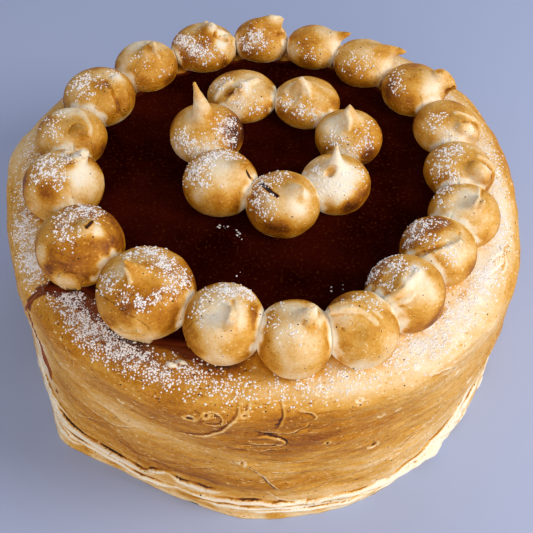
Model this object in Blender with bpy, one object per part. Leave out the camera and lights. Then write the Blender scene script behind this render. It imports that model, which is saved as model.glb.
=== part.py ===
"""A round cake in a coat of torched meringue, with two rings of piped dollops round a pool of dark glaze.

Metres, +Z up. The origin is the middle of the flat underside, and the side that faces a guest is towards -Y.
Sizes are named in millimetres, and angles in degrees, counted from +X towards +Y.
"""

import math
from collections import namedtuple

import bmesh
import bpy
import numpy as np
from mathutils import Vector

MM = 0.001
GAP = 0.3  # the clearance that neighbouring pieces keep

# The coat: one solid cake, its meringue spread with a palette knife.
COAT_RADIUS = 110.0
COAT_HEIGHT = 86.0
FOOT_CENTRE = (2.0, 4.3)
TOP_LEAN = (-3.2, -1.4)  # how far the top stands off the foot's centre
SHOULDER_WIDTH = 27.5
SHOULDER_DROP = 10.6
COAT_COLUMNS = 96
COAT_SIDE_ROWS = (0.0, 2.0, 4.5, 7.5, 10.5, 14.0, 18.5, 24.0, 30.0, 37.0, 44.5, 52.5, 60.5, 68.5)
COAT_SHOULDER_ROWS = 7

# Where the coat is thicker or thinner than a true round: azimuth, half width in degrees, and thickness.
Swell = namedtuple("Swell", "azimuth half_width thickness")
COAT_SWELLS = (
    Swell(42, 42, 6.7),
    Swell(100, 46, -7.0),
    Swell(157, 34, 3.0),
    Swell(-163, 26, -2.0),
)

# The lower side leans out at the left, and the foot was pressed down and folded outwards, with one torn flap.
SKIRT_HEIGHT = 60.0
SKIRT_SWELLS = (Swell(-154, 35, 5.2),)
FOOT_HEIGHT = 15.0
FOOT_RADIUS = 110.5
FOOT_SWELLS = (
    Swell(-90, 42, 5.4),
    Swell(-131, 18, 5.0),
    Swell(-138, 7, 5.0),
    Swell(35, 40, 2.0),
    Swell(98, 50, -4.5),
    Swell(160, 20, 2.5),
)

# Marks of the knife: centre, half length, height on the side, rise per degree, breadth and relief.
Stroke = namedtuple("Stroke", "azimuth half_length height rise breadth relief")
STROKES = (
    Stroke(-138, 34, 14, -0.18, 9, 2.0),
    Stroke(-124, 30, 8, -0.06, 5, 1.6),
    Stroke(-92, 22, 22, -0.25, 9, 1.2),
    Stroke(-84, 18, 36, 0.02, 8, 1.1),
    Stroke(-118, 26, 38, -0.25, 12, 0.9),
    Stroke(-72, 34, 9, 0.05, 7, 1.6),
    Stroke(-45, 30, 24, 0.15, 12, 0.9),
    Stroke(-20, 34, 40, 0.1, 14, 0.8),
)
STROKE_LIP = 0.4  # the crisp lower lip's share of a stroke's breadth
STROKES_ROUND_THE_BACK = 16
STROKE_SEED = 7

# The glaze lies flush in the top, runs under the outer ring and has crept out at the front left.
GLAZE_DEPTH = 2.5
GLAZE_RADIUS = 79.0
GLAZE_COLUMNS = 60
GLAZE_RINGS = (0.34, 0.62, 0.8, 0.9, 1.0)
GLAZE_SPILLS = (Swell(-120, 36, 15.0), Swell(-144, 9, 20.0))

# The piped dollops. A row says where one stands on its ring (azimuth, and how far outside the ring's line),
# its radius and dome height, then its drawn-out tail: where it points, how far the tip reaches from the
# middle, how high the tip is, and how thick the tail's root is against the dollop's radius.
Dollop = namedtuple("Dollop", "azimuth outside radius height tail_to reach tip_height root")
Ring = namedtuple("Ring", "name radius centre dollops")
OUTER_RING = Ring(
    "dollop_outer",
    83.5,
    (-1.0, 3.5),
    (
        Dollop(111, 3, 15.5, 13, -25, 5.5, 16, 0.55),
        Dollop(92.5, 3.5, 13, 13.5, -5, 10, 15.5, 0.7),
        Dollop(75.5, 2, 13, 13.5, -5, 16.5, 12, 0.5),
        Dollop(58, 1, 14, 13.5, -5, 18, 11, 0.5),
        Dollop(38.5, 1.5, 14.5, 14.5, -10, 18, 8, 0.55),
        Dollop(19.5, 0, 14.5, 14.5, -50, 10.5, 14, 0.5),
        Dollop(1, -2.5, 14.5, 15, -45, 14, 13, 0.5),
        Dollop(-16, 0, 14.5, 15, -50, 6.5, 17, 0.55),
        Dollop(-32, -3.5, 15, 16.5, -40, 9, 16, 0.6),
        Dollop(-50, -0.5, 15, 18.5, -130, 10, 15, 0.55),
        Dollop(-65.5, 4, 14, 17.5, 175, 11.5, 15, 0.55),
        Dollop(-81.5, 2, 14, 18, 15, 6.5, 20, 0.5),
        Dollop(-99, -3, 15, 19.5, -65, 9, 22, 0.55),
        Dollop(-122, -4.5, 18.5, 20, -155, 5.5, 27, 0.6),
        Dollop(-147, -0.5, 17, 19, -20, 8, 21.5, 0.5),
        Dollop(-170.5, -1, 16.5, 17.5, 20, 12, 19, 0.5),
        Dollop(170, 0.5, 15, 16, -45, 13, 17, 0.5),
        Dollop(151, 2, 16, 16, -45, 12, 15.5, 0.6),
        Dollop(131, 2.5, 14.5, 14, -45, 7, 18.5, 0.5),
    ),
)
INNER_RING = Ring(
    "dollop_inner",
    33.0,
    (3.5, 14.5),
    (
        Dollop(164.5, -2, 16, 16, -170, 4, 33, 0.5),
        Dollop(113.5, 6, 16, 11, -95, 8.5, 12.5, 0.35),
        Dollop(67.5, 2, 15, 12, -165, 4.5, 16, 0.55),
        Dollop(16.5, -0.5, 14.5, 14.5, 110, 2.5, 18.5, 0.6),
        Dollop(-37, -2, 14.5, 14.5, 120, 2, 24, 0.5),
        Dollop(-84, -1.5, 15, 16.5, -35, 8.5, 18.5, 0.55),
        Dollop(-137.5, -2.5, 15.5, 17, -10, 11.5, 18, 0.5),
    ),
)
DOLLOP_COLUMNS = 14
DOLLOP_FOOT_SHARE = 0.86  # radius where a dollop stands against its widest
DOLLOP_WIDEST = 0.36  # how far up its dome it is widest
DOME_ROWS = 5
SEAT_INSET = 0.6  # keeps a dollop's faceted underside clear of the shoulder's curve
TAIL_COLUMNS = 7
TAIL_ROWS = 4
TAIL_TIP_RADIUS = 0.8
TAIL_START = 0.42  # how far up the dome a tail starts, and how far along its reach it bends over
TAIL_TAPER = 1.15
LYING_ARCH, STANDING_ARCH = 1.02, 0.72  # the bend's height against the dome's or the tip's

MERINGUE_BROWN = (0.60, 0.36, 0.12)
MERINGUE_PALE = (0.72, 0.50, 0.24)
GLAZE_DARK = (0.022, 0.004, 0.002)


def swell_at(azimuth, swells):
    """The sum of rounded humps round the circle, in millimetres."""
    total = 0.0
    for swell in swells:
        away = abs((azimuth - swell.azimuth + 180) % 360 - 180) / swell.half_width
        if away < 1:
            total += swell.thickness * 0.5 * (1 + math.cos(math.pi * away))
    return total


def coat_radius(azimuth, height):
    """The coat's radius before the knife's marks: a foot that flares out of an upright side."""
    upright = COAT_RADIUS + swell_at(azimuth, COAT_SWELLS)
    foot = FOOT_RADIUS + swell_at(azimuth, FOOT_SWELLS)
    skirt = swell_at(azimuth, SKIRT_SWELLS)
    pressed = max(0.0, 1 - height / FOOT_HEIGHT) ** 1.5
    leaning = max(0.0, 1 - height / SKIRT_HEIGHT)
    return upright + (foot - upright) * pressed + skirt * leaning


def coat_centre(height):
    share = height / COAT_HEIGHT
    return FOOT_CENTRE[0] + share * TOP_LEAN[0], FOOT_CENTRE[1] + share * TOP_LEAN[1]


def shoulder_height(outward):
    """Height of the shoulder, where outward runs from 0 at the flat top's edge to 1 at the side."""
    outward = min(max(outward, 0.0), 1.0)
    return COAT_HEIGHT - SHOULDER_DROP * (1 - math.sqrt(1 - outward**2))


def top_height(x, y, inset=0.0):
    """Height of the coat's top and shoulder over a point, or over one that lies further in by the inset."""
    centre = coat_centre(COAT_HEIGHT)
    x, y = x - centre[0], y - centre[1]
    radius = coat_radius(math.degrees(math.atan2(y, x)), COAT_HEIGHT)
    return shoulder_height((math.hypot(x, y) - inset - radius + SHOULDER_WIDTH) / SHOULDER_WIDTH)


def all_strokes():
    """The strokes that are placed by hand, and a seeded spread of like ones over the rest of the side."""
    draw = np.random.default_rng(STROKE_SEED)
    strokes = list(STROKES)
    for number in range(STROKES_ROUND_THE_BACK):
        strokes.append(
            Stroke(
                azimuth=5 + 190 * (number + draw.uniform(0, 1)) / STROKES_ROUND_THE_BACK,
                half_length=draw.uniform(18, 34),
                height=(10, 34, 22, 48)[number % 4] + draw.uniform(-4, 4),
                rise=draw.uniform(-0.2, 0.2),
                breadth=draw.uniform(8, 13),
                relief=draw.uniform(0.7, 1.3),
            )
        )
    return strokes


def side_relief(azimuth, height, strokes):
    """How far the knife's marks stand out: each has a crisp lower lip and a long slope above it."""
    total = 0.5 * math.sin(math.radians(5 * azimuth + 40) + height / 21)
    total += 0.4 * math.sin(math.radians(9 * azimuth - 70) - height / 13)
    for stroke in strokes:
        away = (azimuth - stroke.azimuth + 180) % 360 - 180
        along = away / stroke.half_length
        across = (height - stroke.height - stroke.rise * away) / stroke.breadth
        if abs(along) < 1 and -STROKE_LIP < across < 1:
            lip = 1 + across / STROKE_LIP if across < 0 else 1 - across
            total += stroke.relief * lip * 0.5 * (1 + math.cos(math.pi * along))
    return total


def paint(obj, name, colour, roughness):
    material = bpy.data.materials.get(name) or bpy.data.materials.new(name)
    material.use_nodes = True
    shader = material.node_tree.nodes["Principled BSDF"]
    shader.inputs["Base Color"].default_value = (*colour, 1.0)
    shader.inputs["Roughness"].default_value = roughness
    shader.inputs["Metallic"].default_value = 0.0
    obj.data.materials.clear()
    obj.data.materials.append(material)


def add_object(name, mesh_data):
    mesh = bpy.data.meshes.new(name)
    bmesh.ops.recalc_face_normals(mesh_data, faces=mesh_data.faces)
    mesh_data.to_mesh(mesh)
    mesh_data.free()
    obj = bpy.data.objects.new(name, mesh)
    bpy.context.scene.collection.objects.link(obj)
    return obj


def skin_rings(rings, first, last):
    """A closed mesh through rings of points in millimetres, ended by the points first and last."""
    skin = bmesh.new()
    rows = [[skin.verts.new(Vector(point) * MM) for point in ring] for ring in rings]
    count = len(rows[0])
    for lower, upper in zip(rows, rows[1:]):
        for i in range(count):
            j = (i + 1) % count
            skin.faces.new((lower[i], lower[j], upper[j], upper[i]))
    for row, end in ((rows[0], first), (rows[-1], last)):
        middle = skin.verts.new(Vector(end) * MM)
        for i in range(count):
            skin.faces.new((row[i], row[(i + 1) % count], middle))
    return skin


def join_by(obj, other, operation):
    """Applies a Boolean with the other object, which is then removed."""
    modifier = obj.modifiers.new("join", "BOOLEAN")
    modifier.operation = operation
    modifier.solver = "EXACT"
    modifier.object = other
    evaluated = obj.evaluated_get(bpy.context.evaluated_depsgraph_get())
    shape = bpy.data.meshes.new_from_object(evaluated)
    obj.modifiers.clear()
    obj.data = shape
    bpy.data.objects.remove(other)


def smooth(obj):
    obj.data.shade_smooth()
    obj.data.set_sharp_from_angle(angle=math.radians(50))


def coat_ring(centre_height, height, inset, strokes):
    """One ring of the coat, drawn in from the side by the inset, with the knife's marks that reach it."""
    centre = coat_centre(centre_height)
    points = []
    for column in range(COAT_COLUMNS):
        azimuth = 360 * column / COAT_COLUMNS
        radius = coat_radius(azimuth, height) - inset + side_relief(azimuth, height, strokes)
        angle = math.radians(azimuth)
        x, y = centre[0] + radius * math.cos(angle), centre[1] + radius * math.sin(angle)
        points.append((x, y, height))
    return points


def make_coat():
    """The whole cake as one solid: flat below, knife marks up the side, a soft shoulder and a flat top."""
    strokes = all_strokes()
    rings = [coat_ring(height, height, 0.0, strokes) for height in COAT_SIDE_ROWS]
    for row in range(COAT_SHOULDER_ROWS + 1):
        outward = math.cos(0.5 * math.pi * row / COAT_SHOULDER_ROWS)
        inset = SHOULDER_WIDTH * (1 - outward)
        rings.append(coat_ring(COAT_HEIGHT, shoulder_height(outward), inset, ()))
    top = coat_centre(COAT_HEIGHT)
    return skin_rings(rings, (*FOOT_CENTRE, 0), (*top, COAT_HEIGHT))


def make_glaze(grow):
    """The pool, its top flush with the coat. Grown and open above, it is the cutter for its own recess."""
    rise = 5.0 if grow else 0.0
    centre = OUTER_RING.centre

    def ring(share, lift):
        points = []
        for column in range(GLAZE_COLUMNS):
            azimuth = 360 * column / GLAZE_COLUMNS
            radius = share * (GLAZE_RADIUS + swell_at(azimuth, GLAZE_SPILLS)) + grow * (share == 1.0)
            angle = math.radians(azimuth)
            x, y = centre[0] + radius * math.cos(angle), centre[1] + radius * math.sin(angle)
            points.append((x, y, top_height(x, y) + lift))
        return points

    floor = [ring(share, -GLAZE_DEPTH - grow) for share in GLAZE_RINGS]
    face = [ring(share, rise) for share in reversed(GLAZE_RINGS)]
    below = (*centre, COAT_HEIGHT - GLAZE_DEPTH - grow)
    return skin_rings(floor + face, below, (*centre, COAT_HEIGHT + rise))


def dome_rings(dollop, middle, grow):
    """A drop that has slumped a little: narrower where it stands, round above, and draped over the shoulder."""
    radius, height = dollop.radius + grow, dollop.height + grow
    widest = DOLLOP_WIDEST * height
    seat = GAP if not grow else -1.0
    profile = [(0.6 * DOLLOP_FOOT_SHARE, 0.0), (DOLLOP_FOOT_SHARE, 0.0), (0.965, 0.45 * widest)]
    for row in range(DOME_ROWS):
        turn = 0.5 * math.pi * row / (DOME_ROWS + 0.2)
        profile.append((math.cos(turn) ** 0.9, widest + (height - widest) * math.sin(turn)))
    rings = []
    for share, lift in profile:
        points = []
        for column in range(DOLLOP_COLUMNS):
            angle = 2 * math.pi * column / DOLLOP_COLUMNS
            x = middle[0] + share * radius * math.cos(angle)
            y = middle[1] + share * radius * math.sin(angle)
            foot = top_height(x, y, SEAT_INSET) + seat - COAT_HEIGHT
            points.append((x, y, COAT_HEIGHT + lift + foot * (1 - lift / height)))
        rings.append(points)
    below = (*middle, top_height(*middle) + seat)
    return rings, below, (*middle, COAT_HEIGHT + height)


def tail_rings(dollop, middle, grow):
    """The tail that the nozzle drew out: a bent cone along a curve from inside the dome to the tip."""
    heading = math.radians(dollop.tail_to)
    way = Vector((math.cos(heading), math.sin(heading), 0))
    base = Vector((*middle, COAT_HEIGHT))
    start = base + Vector((0, 0, TAIL_START * dollop.height))
    tip = base + way * dollop.reach + Vector((0, 0, dollop.tip_height))
    lying = dollop.tip_height < dollop.height
    arch = max(dollop.height, dollop.tip_height) * (LYING_ARCH if lying else STANDING_ARCH)
    bend = base + way * TAIL_START * dollop.reach + Vector((0, 0, arch))
    across = way.cross(Vector((0, 0, 1)))
    rings = []
    for row in range(TAIL_ROWS + 1):
        t = row / TAIL_ROWS
        point = (1 - t) ** 2 * start + 2 * t * (1 - t) * bend + t**2 * tip
        heading_now = ((1 - t) * (bend - start) + t * (tip - bend)).normalized()
        normal = heading_now.cross(across)
        radius = grow + TAIL_TIP_RADIUS + (dollop.root * dollop.radius - TAIL_TIP_RADIUS) * (1 - t) ** TAIL_TAPER
        ring = []
        for column in range(TAIL_COLUMNS):
            angle = 2 * math.pi * column / TAIL_COLUMNS
            ring.append(point + radius * (math.cos(angle) * across + math.sin(angle) * normal))
        rings.append(ring)
    return rings, start, tip + (grow + 0.5 * TAIL_TIP_RADIUS) * heading_now


def dollop_middle(ring, dollop):
    angle = math.radians(dollop.azimuth)
    radius = ring.radius + dollop.outside
    return ring.centre[0] + radius * math.cos(angle), ring.centre[1] + radius * math.sin(angle)


def make_dollop(name, ring, dollop, grow):
    middle = dollop_middle(ring, dollop)
    obj = add_object(name, skin_rings(*dome_rings(dollop, middle, grow)))
    tail = add_object(name + "_tail", skin_rings(*tail_rings(dollop, middle, grow)))
    join_by(obj, tail, "UNION")
    return obj


def pipe_ring(ring):
    """Each dollop was piped against the one before it, so each is cut back by its neighbour, grown by the gap."""
    for number, dollop in enumerate(ring.dollops):
        neighbour = ring.dollops[(number + 1) % len(ring.dollops)]
        obj = make_dollop(f"{ring.name}_{number + 1:02d}", ring, dollop, 0.0)
        join_by(obj, make_dollop("neighbour", ring, neighbour, GAP), "DIFFERENCE")
        paint(obj, "toasted meringue dollop", MERINGUE_PALE, 0.55)
        smooth(obj)


def main():
    for old in list(bpy.data.objects):
        bpy.data.objects.remove(old)
    coat = add_object("cake_body", make_coat())
    join_by(coat, add_object("recess", make_glaze(GAP)), "DIFFERENCE")
    paint(coat, "toasted meringue coat", MERINGUE_BROWN, 0.55)
    smooth(coat)
    glaze = add_object("chocolate_glaze", make_glaze(0.0))
    paint(glaze, "dark glaze", GLAZE_DARK, 0.12)
    smooth(glaze)
    pipe_ring(OUTER_RING)
    pipe_ring(INNER_RING)


main()
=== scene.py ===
import math
from collections import namedtuple

import bpy
import numpy as np
from mathutils import Matrix, Vector
from mathutils.bvhtree import BVHTree


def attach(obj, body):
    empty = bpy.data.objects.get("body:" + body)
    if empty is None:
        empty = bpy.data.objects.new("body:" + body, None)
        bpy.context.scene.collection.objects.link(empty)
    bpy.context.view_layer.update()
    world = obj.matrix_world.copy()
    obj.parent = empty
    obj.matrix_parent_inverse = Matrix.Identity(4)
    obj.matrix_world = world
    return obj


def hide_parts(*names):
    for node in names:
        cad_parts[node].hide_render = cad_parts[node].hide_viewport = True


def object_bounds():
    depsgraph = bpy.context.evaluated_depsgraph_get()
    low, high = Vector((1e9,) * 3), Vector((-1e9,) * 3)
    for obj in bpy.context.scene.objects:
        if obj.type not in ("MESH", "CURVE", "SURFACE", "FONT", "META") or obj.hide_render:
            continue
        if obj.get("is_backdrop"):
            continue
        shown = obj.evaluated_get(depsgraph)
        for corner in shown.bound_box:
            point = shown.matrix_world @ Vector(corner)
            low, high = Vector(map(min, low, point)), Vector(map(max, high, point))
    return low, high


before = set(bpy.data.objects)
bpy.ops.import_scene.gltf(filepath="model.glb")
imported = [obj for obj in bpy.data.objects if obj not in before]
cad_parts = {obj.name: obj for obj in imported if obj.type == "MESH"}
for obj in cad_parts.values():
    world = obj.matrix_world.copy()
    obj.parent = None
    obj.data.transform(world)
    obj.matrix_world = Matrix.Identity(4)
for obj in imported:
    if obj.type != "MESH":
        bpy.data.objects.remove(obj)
cad_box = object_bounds()
MM = 0.001  # lengths below are in millimetres, and angles in degrees from +X towards +Y


# --------------------------------------------------------------------------------------------------
# The view and the light. The camera looks down on the cake at about 52 degrees, as one stands at a table.
# A broad lamp at the right gives soft side light, and a pale sky fills the shaded side with a little blue.
CAMERA_PLACE = (0.9, -248.7, 343.9)
CAMERA_DOWN = 51.62
CAMERA_ROLL = -1.61
SENSOR_WIDTH, CAMERA_LENS = 36.0, 57.5
FARTHEST_SEEN = 20000.0
FLOOR_SIZE = 6000.0
LAMP_AIM = (0.0, 0.0, 60.0)
LAMP_DISTANCE = 900.0
SKY_STRENGTH = 0.42


def colour(hex_code):
    """An sRGB hex colour as linear light."""
    parts = [int(hex_code[i : i + 2], 16) / 255 for i in (0, 2, 4)]
    return (*[p / 12.92 if p <= 0.04045 else ((p + 0.055) / 1.055) ** 2.4 for p in parts], 1.0)


def new_material(name, settings):
    """A new material, and its shader with these settings."""
    material = bpy.data.materials.new(name)
    material.use_nodes = True
    shader = material.node_tree.nodes["Principled BSDF"]
    for label, value in settings.items():
        shader.inputs[label].default_value = value
    return material, shader


def stand(name, data):
    """A new object in the scene."""
    obj = bpy.data.objects.new(name, data)
    bpy.context.scene.collection.objects.link(obj)
    return obj


def way_to(heading, tilt):
    """The direction of a heading and a tilt up from level."""
    a, b = math.radians(heading), math.radians(tilt)
    return np.array([math.cos(a) * math.cos(b), math.sin(a) * math.cos(b), math.sin(b)])


camera = stand("view", bpy.data.cameras.new("view"))
camera.data.lens = CAMERA_LENS
camera.data.sensor_width = SENSOR_WIDTH
camera.data.clip_end = FARTHEST_SEEN * MM
down = math.radians(CAMERA_DOWN)
forward = Vector((0, math.cos(down), -math.sin(down)))
turn = Matrix.Rotation(math.radians(CAMERA_ROLL), 3, forward)
right, up = turn @ Vector((1, 0, 0)), turn @ Vector((0, math.sin(down), math.cos(down)))
camera_axes = Matrix((right, up, -forward)).transposed().to_4x4()
camera.matrix_world = Matrix.Translation(Vector(CAMERA_PLACE) * MM) @ camera_axes
bpy.context.scene.camera = camera
bpy.context.scene.view_settings.view_transform = "Standard"

for name, azimuth, elevation, size, power, tint in (
    ("side lamp", -12, 38, 380, 5.1, "FFF8EE"),
    ("back lamp", 75, 50, 600, 0.9, "F4F4FA"),
    ("front lamp", -98, 22, 700, 3.5, "FFEFDC"),
):
    lamp = stand(name, bpy.data.lights.new(name, "AREA"))
    lamp.data.shape = "DISK"
    lamp.data.size = size * MM
    lamp.data.energy = power
    lamp.data.color = colour(tint)[:3]
    lamp.location = way_to(azimuth, elevation) * LAMP_DISTANCE * MM
    lamp.rotation_euler = (Vector(LAMP_AIM) * MM - lamp.location).to_track_quat("-Z", "Y").to_euler()

world = bpy.data.worlds.new("pale sky")
world.use_nodes = True
world.node_tree.nodes["Background"].inputs["Color"].default_value = colour("E6EAF6")
world.node_tree.nodes["Background"].inputs["Strength"].default_value = SKY_STRENGTH
bpy.context.scene.world = world

floor_mesh = bpy.data.meshes.new("floor")
half = FLOOR_SIZE * MM / 2
floor_corners = [(-half, -half, 0), (half, -half, 0), (half, half, 0), (-half, half, 0)]
floor_mesh.from_pydata(floor_corners, [], [(0, 1, 2, 3)])
floor = stand("floor", floor_mesh)
paper, _ = new_material(
    "pale matt paper", {"Base Color": colour("A9B6D9"), "Roughness": 0.9, "Specular IOR Level": 0.2}
)
floor_mesh.materials.append(paper)
floor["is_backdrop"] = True


# --------------------------------------------------------------------------------------------------
# The coat: meringue of egg white and hot syrup, spread over the whole cake with a palette knife and torched.
# Its form is read from the frame. On it come the knife's folds, the pressed foot and the burst bubbles.
AXIS = (0.4, 3.6)
COAT_RADIUS = 110.0  # turns an azimuth into a length round the coat
CORE_RADIUS, CORE_HEIGHT = 82.0, 63.0  # the shoulder is read from this circle inside it
COAT_STEPS = ((0, 0.5, 14), (14, 0.9, 80), (80, 1.1, 108))  # rows up the coat: from, step, to
COLUMN_STEPS = ((-168, 0.4, -14), (-14, 0.8, 192))  # columns round it: finer on the side that faces a guest
GLAZE_CENTRE = (-1.0, 3.5)
RECESS_DEPTH = 1.4
OUTSIDE = 160.0  # from here rays see the whole cake, from the side and from above

# Folds where the knife was lifted or laid over: how proud, how broad the slope above, how deep the groove
# below, and the way it runs, each point an azimuth and a height up the coat. One prouder than THICK_LIP was
# pressed out from above: it slopes down from its edge, stays pale there, and leaves its groove behind it.
Fold = namedtuple("Fold", "proud slope groove path")
THICK_LIP = 1.1
FOLDS = (
    (2.3, 2.4, 1.5, ((-150, 19), (-144, 13), (-138, 11), (-130, 10.5), (-122, 10.5), (-115, 11.5),
     (-113, 13))),
    (1.6, 1.4, 1.2, ((-142, 7), (-136, 5), (-129, 6), (-122, 6.5), (-115, 7.5), (-108, 8.5))),
    (1.9, 1.5, 1.3, ((-115, 12), (-113.5, 15), (-111, 18.5), (-109.5, 18))),
    (1.7, 2.2, 1.4, ((-110, 18), (-108.5, 14.5), (-105, 13), (-101, 12.5), (-98, 13.5))),
    (2.0, 1.6, 1.1, ((-108, 8.5), (-103, 8), (-97, 9), (-90, 10), (-82, 9.5), (-76, 9))),
    (1.3, 1.0, 1.1, ((-104, 4), (-97, 5.6), (-90, 6.5), (-80, 6), (-70, 5))),
    (1.9, 2.4, 1.1, ((-80, 8), (-74, 10), (-68, 9), (-60, 6.5), (-52, 4), (-42, 4.5), (-30, 4))),
    (0.8, 5.0, 0.5, ((-66, 15), (-58, 17), (-50, 17), (-43, 21), (-37, 30), (-33, 38))),
    (0.9, 2.4, 0.9, ((-96, 44), (-93, 41), (-90, 36), (-88, 29), (-86, 23), (-84, 20))),
    (0.8, 2.0, 0.3, ((-88, 21), (-87, 15), (-84, 11), (-80, 9))),
    (0.7, 2.6, 0.4, ((-94, 84), (-94, 79), (-95.5, 74), (-98, 67.5), (-101, 64.5), (-106, 61))),
    (0.6, 1.5, 0.8, ((-92, 70.5), (-88, 68), (-84, 67.5), (-81.5, 70), (-81, 73))),
    (0.7, 1.2, 0.7, ((-94, 62), (-90, 60.5), (-86, 60), (-85, 62), (-87, 64.5), (-91, 66))),
    (0.6, 1.1, 0.6, ((-96, 59), (-92, 57), (-88, 56), (-84, 56.5))),
    (0.4, 1.2, 0.3, ((-92, 84), (-92.5, 77.5))),
    (0.3, 1.0, 0.5, ((-86, 85), (-85.5, 79), (-86, 73), (-87, 69.5))),
    (0.6, 3.0, 0.4, ((-128.5, 41.5), (-124, 41), (-119.5, 44), (-116, 50))),
    (0.5, 3.0, 0.3, ((-133, 24), (-129, 30), (-124, 37))),
    (0.5, 2.0, 0.5, ((-112, 63), (-110, 67), (-107, 68.5))),
    (0.6, 3.5, 0.4, ((-30, 92), (-26, 88.5), (-22, 86), (-17, 87))),
    (0.6, 4.0, 0.4, ((-76, 22), (-66, 25), (-56, 29), (-48, 36))),
    (0.5, 4.0, 0.3, ((-120, 22), (-112, 25), (-104, 30), (-99, 37))),
    (1.7, 1.6, 1.2, ((-153, 15), (-146, 10), (-139, 8), (-132, 8.5))),
    (1.4, 1.4, 1.2, ((-152, 8), (-146, 5), (-140, 3.5), (-132, 4))),
    (1.5, 1.8, 1.1, ((-153, 27), (-148, 19), (-143, 16), (-137, 15.5))),
    (0.5, 1.4, 0.5, ((-138, 66), (-137, 60), (-135, 55))),
    (1.6, 2.0, 1.0, ((-62, 9), (-54, 11.5), (-46, 13), (-38, 16), (-32, 22))),
    (1.4, 1.6, 1.0, ((-50, 5), (-42, 7.5), (-34, 9.5), (-27, 13))),
    (1.2, 1.5, 1.0, ((-92, 4), (-84, 5), (-74, 3.5), (-66, 3))),
    (0.5, 1.2, 0.4, ((-131.5, 79), (-130, 76), (-129, 71))),
    (0.5, 1.3, 0.6, ((-127, 56), (-124, 53), (-120, 51))),
    (0.7, 1.3, 0.8, ((-124, 34), (-119, 30), (-113, 27), (-110, 24))),
    (0.4, 1.2, 0.4, ((-101.5, 76), (-100, 79), (-97, 78.5), (-96.5, 75), (-99, 73), (-101, 74.5))),
    (0.5, 1.3, 0.4, ((-83, 80), (-80.5, 79), (-79.5, 76), (-80.5, 74))),
    (0.4, 1.2, 0.4, ((-56, 79), (-52, 77), (-48, 73))),
    (0.4, 1.2, 0.4, ((-53, 74), (-50, 71.5), (-47, 69))),
    (0.5, 1.8, 0.5, ((-88, 46), (-83, 43.5), (-78, 43.5))),
    (0.4, 1.4, 0.4, ((-84, 34), (-79, 32.5), (-74, 33))),
    (0.6, 2.0, 0.5, ((-64, 30), (-56, 33), (-49, 40), (-44, 47))),
    (0.5, 1.8, 0.4, ((-40, 30), (-35, 38), (-31, 48), (-29, 60))),
    (0.5, 1.6, 0.4, ((-27, 92), (-23, 91), (-20, 87), (-23, 84.5), (-27, 86))),
)
FOLDS_ROUND_THE_BACK = 34
BACK_FOLD_HEIGHTS = (9, 30, 52, 16, 68, 40)
FOLD_SEED = 11
LEAST_STRENGTH = 0.05  # a fold fainter than this leaves no mark
WANDER = 0.22  # how far an edge strays from its path
# how soft an edge is, how far below it the groove lies and how wide, and the share of its depth that is cut
FOLD_EDGE, FOLD_CUT = (0.7, 1.2, 0.9), 0.6
NO_FOLD = 9.0  # this far from a fold the material shows none

# The pressed foot all round is wavy lips, one over another: height, how far each waves, and how proud.
FOOT_LIPS = ((2.2, 1.0, 0.9), (5.2, 1.4, 0.8), (8.6, 1.8, 0.7))
FOOT_SLOPE, FOOT_EDGE, FOOT_CUT = 1.8, (0.6, 1.0, 0.7), 0.7

# Bubbles that burst at the skin: a round or oval rim with a hollow in it, sizes in millimetres.
Pit = namedtuple("Pit", "azimuth height half_width half_height depth")
PITS = (
    (-66.5, 43, 2.3, 1.9, 1.5), (-66, 65, 1.2, 1.0, 0.8), (-62, 64, 1.0, 0.9, 0.7),
    (-93, 79, 1.0, 0.9, 0.8), (-93.5, 42.5, 1.3, 1.0, 0.8), (-46, 62, 1.2, 1.1, 0.9),
    (-103, 75, 2.0, 1.1, 0.7), (-100, 77.5, 1.2, 1.0, 0.6), (-77, 58, 1.0, 0.9, 0.8),
    (-19.5, 90, 1.4, 1.1, 1.2), (-36, 88, 0.9, 0.8, 0.7), (-58, 84, 0.9, 0.8, 0.7),
    (-71, 80, 1.0, 0.7, 0.7), (-118, 66, 1.1, 0.9, 0.7), (-40, 44, 1.2, 1.0, 0.8), (24, 50, 1.8, 1.5, 1.2),
    (96, 36, 1.6, 1.4, 1.1), (152, 58, 1.9, 1.5, 1.3),
)

# How deep the torch coloured it, as soft patches: azimuth, height, their half widths, and how much darker.
# The patches just under the front dollops' feet, at heights 94 and 95, are painted shade as well as toast.
Patch = namedtuple("Patch", "azimuth height half_width half_height toast")
TOAST_GROUND = 0.47
PATCH_SHARE, PATCH_FALL = 0.7, 0.9
FOOT_PALER, LIP_PALER, FOOT_LINE_SHADE = 0.22, 0.26, 0.16
TOASTED_AND_SHADED = (
    (-109, 71, 17, 13, 0.3), (-86, 76, 12, 9, 0.22), (-74, 72, 15, 10, 0.16), (-117, 54, 13, 9, -0.16),
    (-100, 52, 14, 12, 0.12), (-84, 57, 11, 12, 0.26), (-112, 28, 16, 12, 0.22), (-97, 22, 10, 8, 0.2),
    (-132, 30, 14, 18, 0.14), (-138, 62, 12, 18, 0.02), (-149, 32, 5, 26, -0.6), (-158, 62, 10, 16, 0.12),
    (-79, 30, 9, 14, 0.12), (-62, 62, 14, 12, 0.1), (-64, 36, 16, 14, 0.05), (-46, 74, 16, 14, -0.14),
    (-40, 20, 24, 12, -0.2), (-62, 9, 26, 5, -0.12), (-44, 13, 22, 7, -0.06), (-26, 50, 12, 20, 0.06),
    (-124, 88, 22, 7, 0.28), (-98, 90, 12, 6, 0.1), (-70, 87, 28, 8, -0.34), (-36, 92, 24, 9, -0.3),
    (4, 94, 40, 9, -0.4), (52, 88, 30, 9, -0.2), (-165, 88, 18, 9, -0.05), (-114, 95, 18, 6, 0.22),
    (-97, 94, 7, 5, 0.16), (-20, 87, 3, 1.2, 0.5), (-46, 95, 4, 1.2, 0.6), (-38, 94, 3, 1.2, 0.5),
    (-8, 78, 30, 7, 0.1),
)
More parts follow.
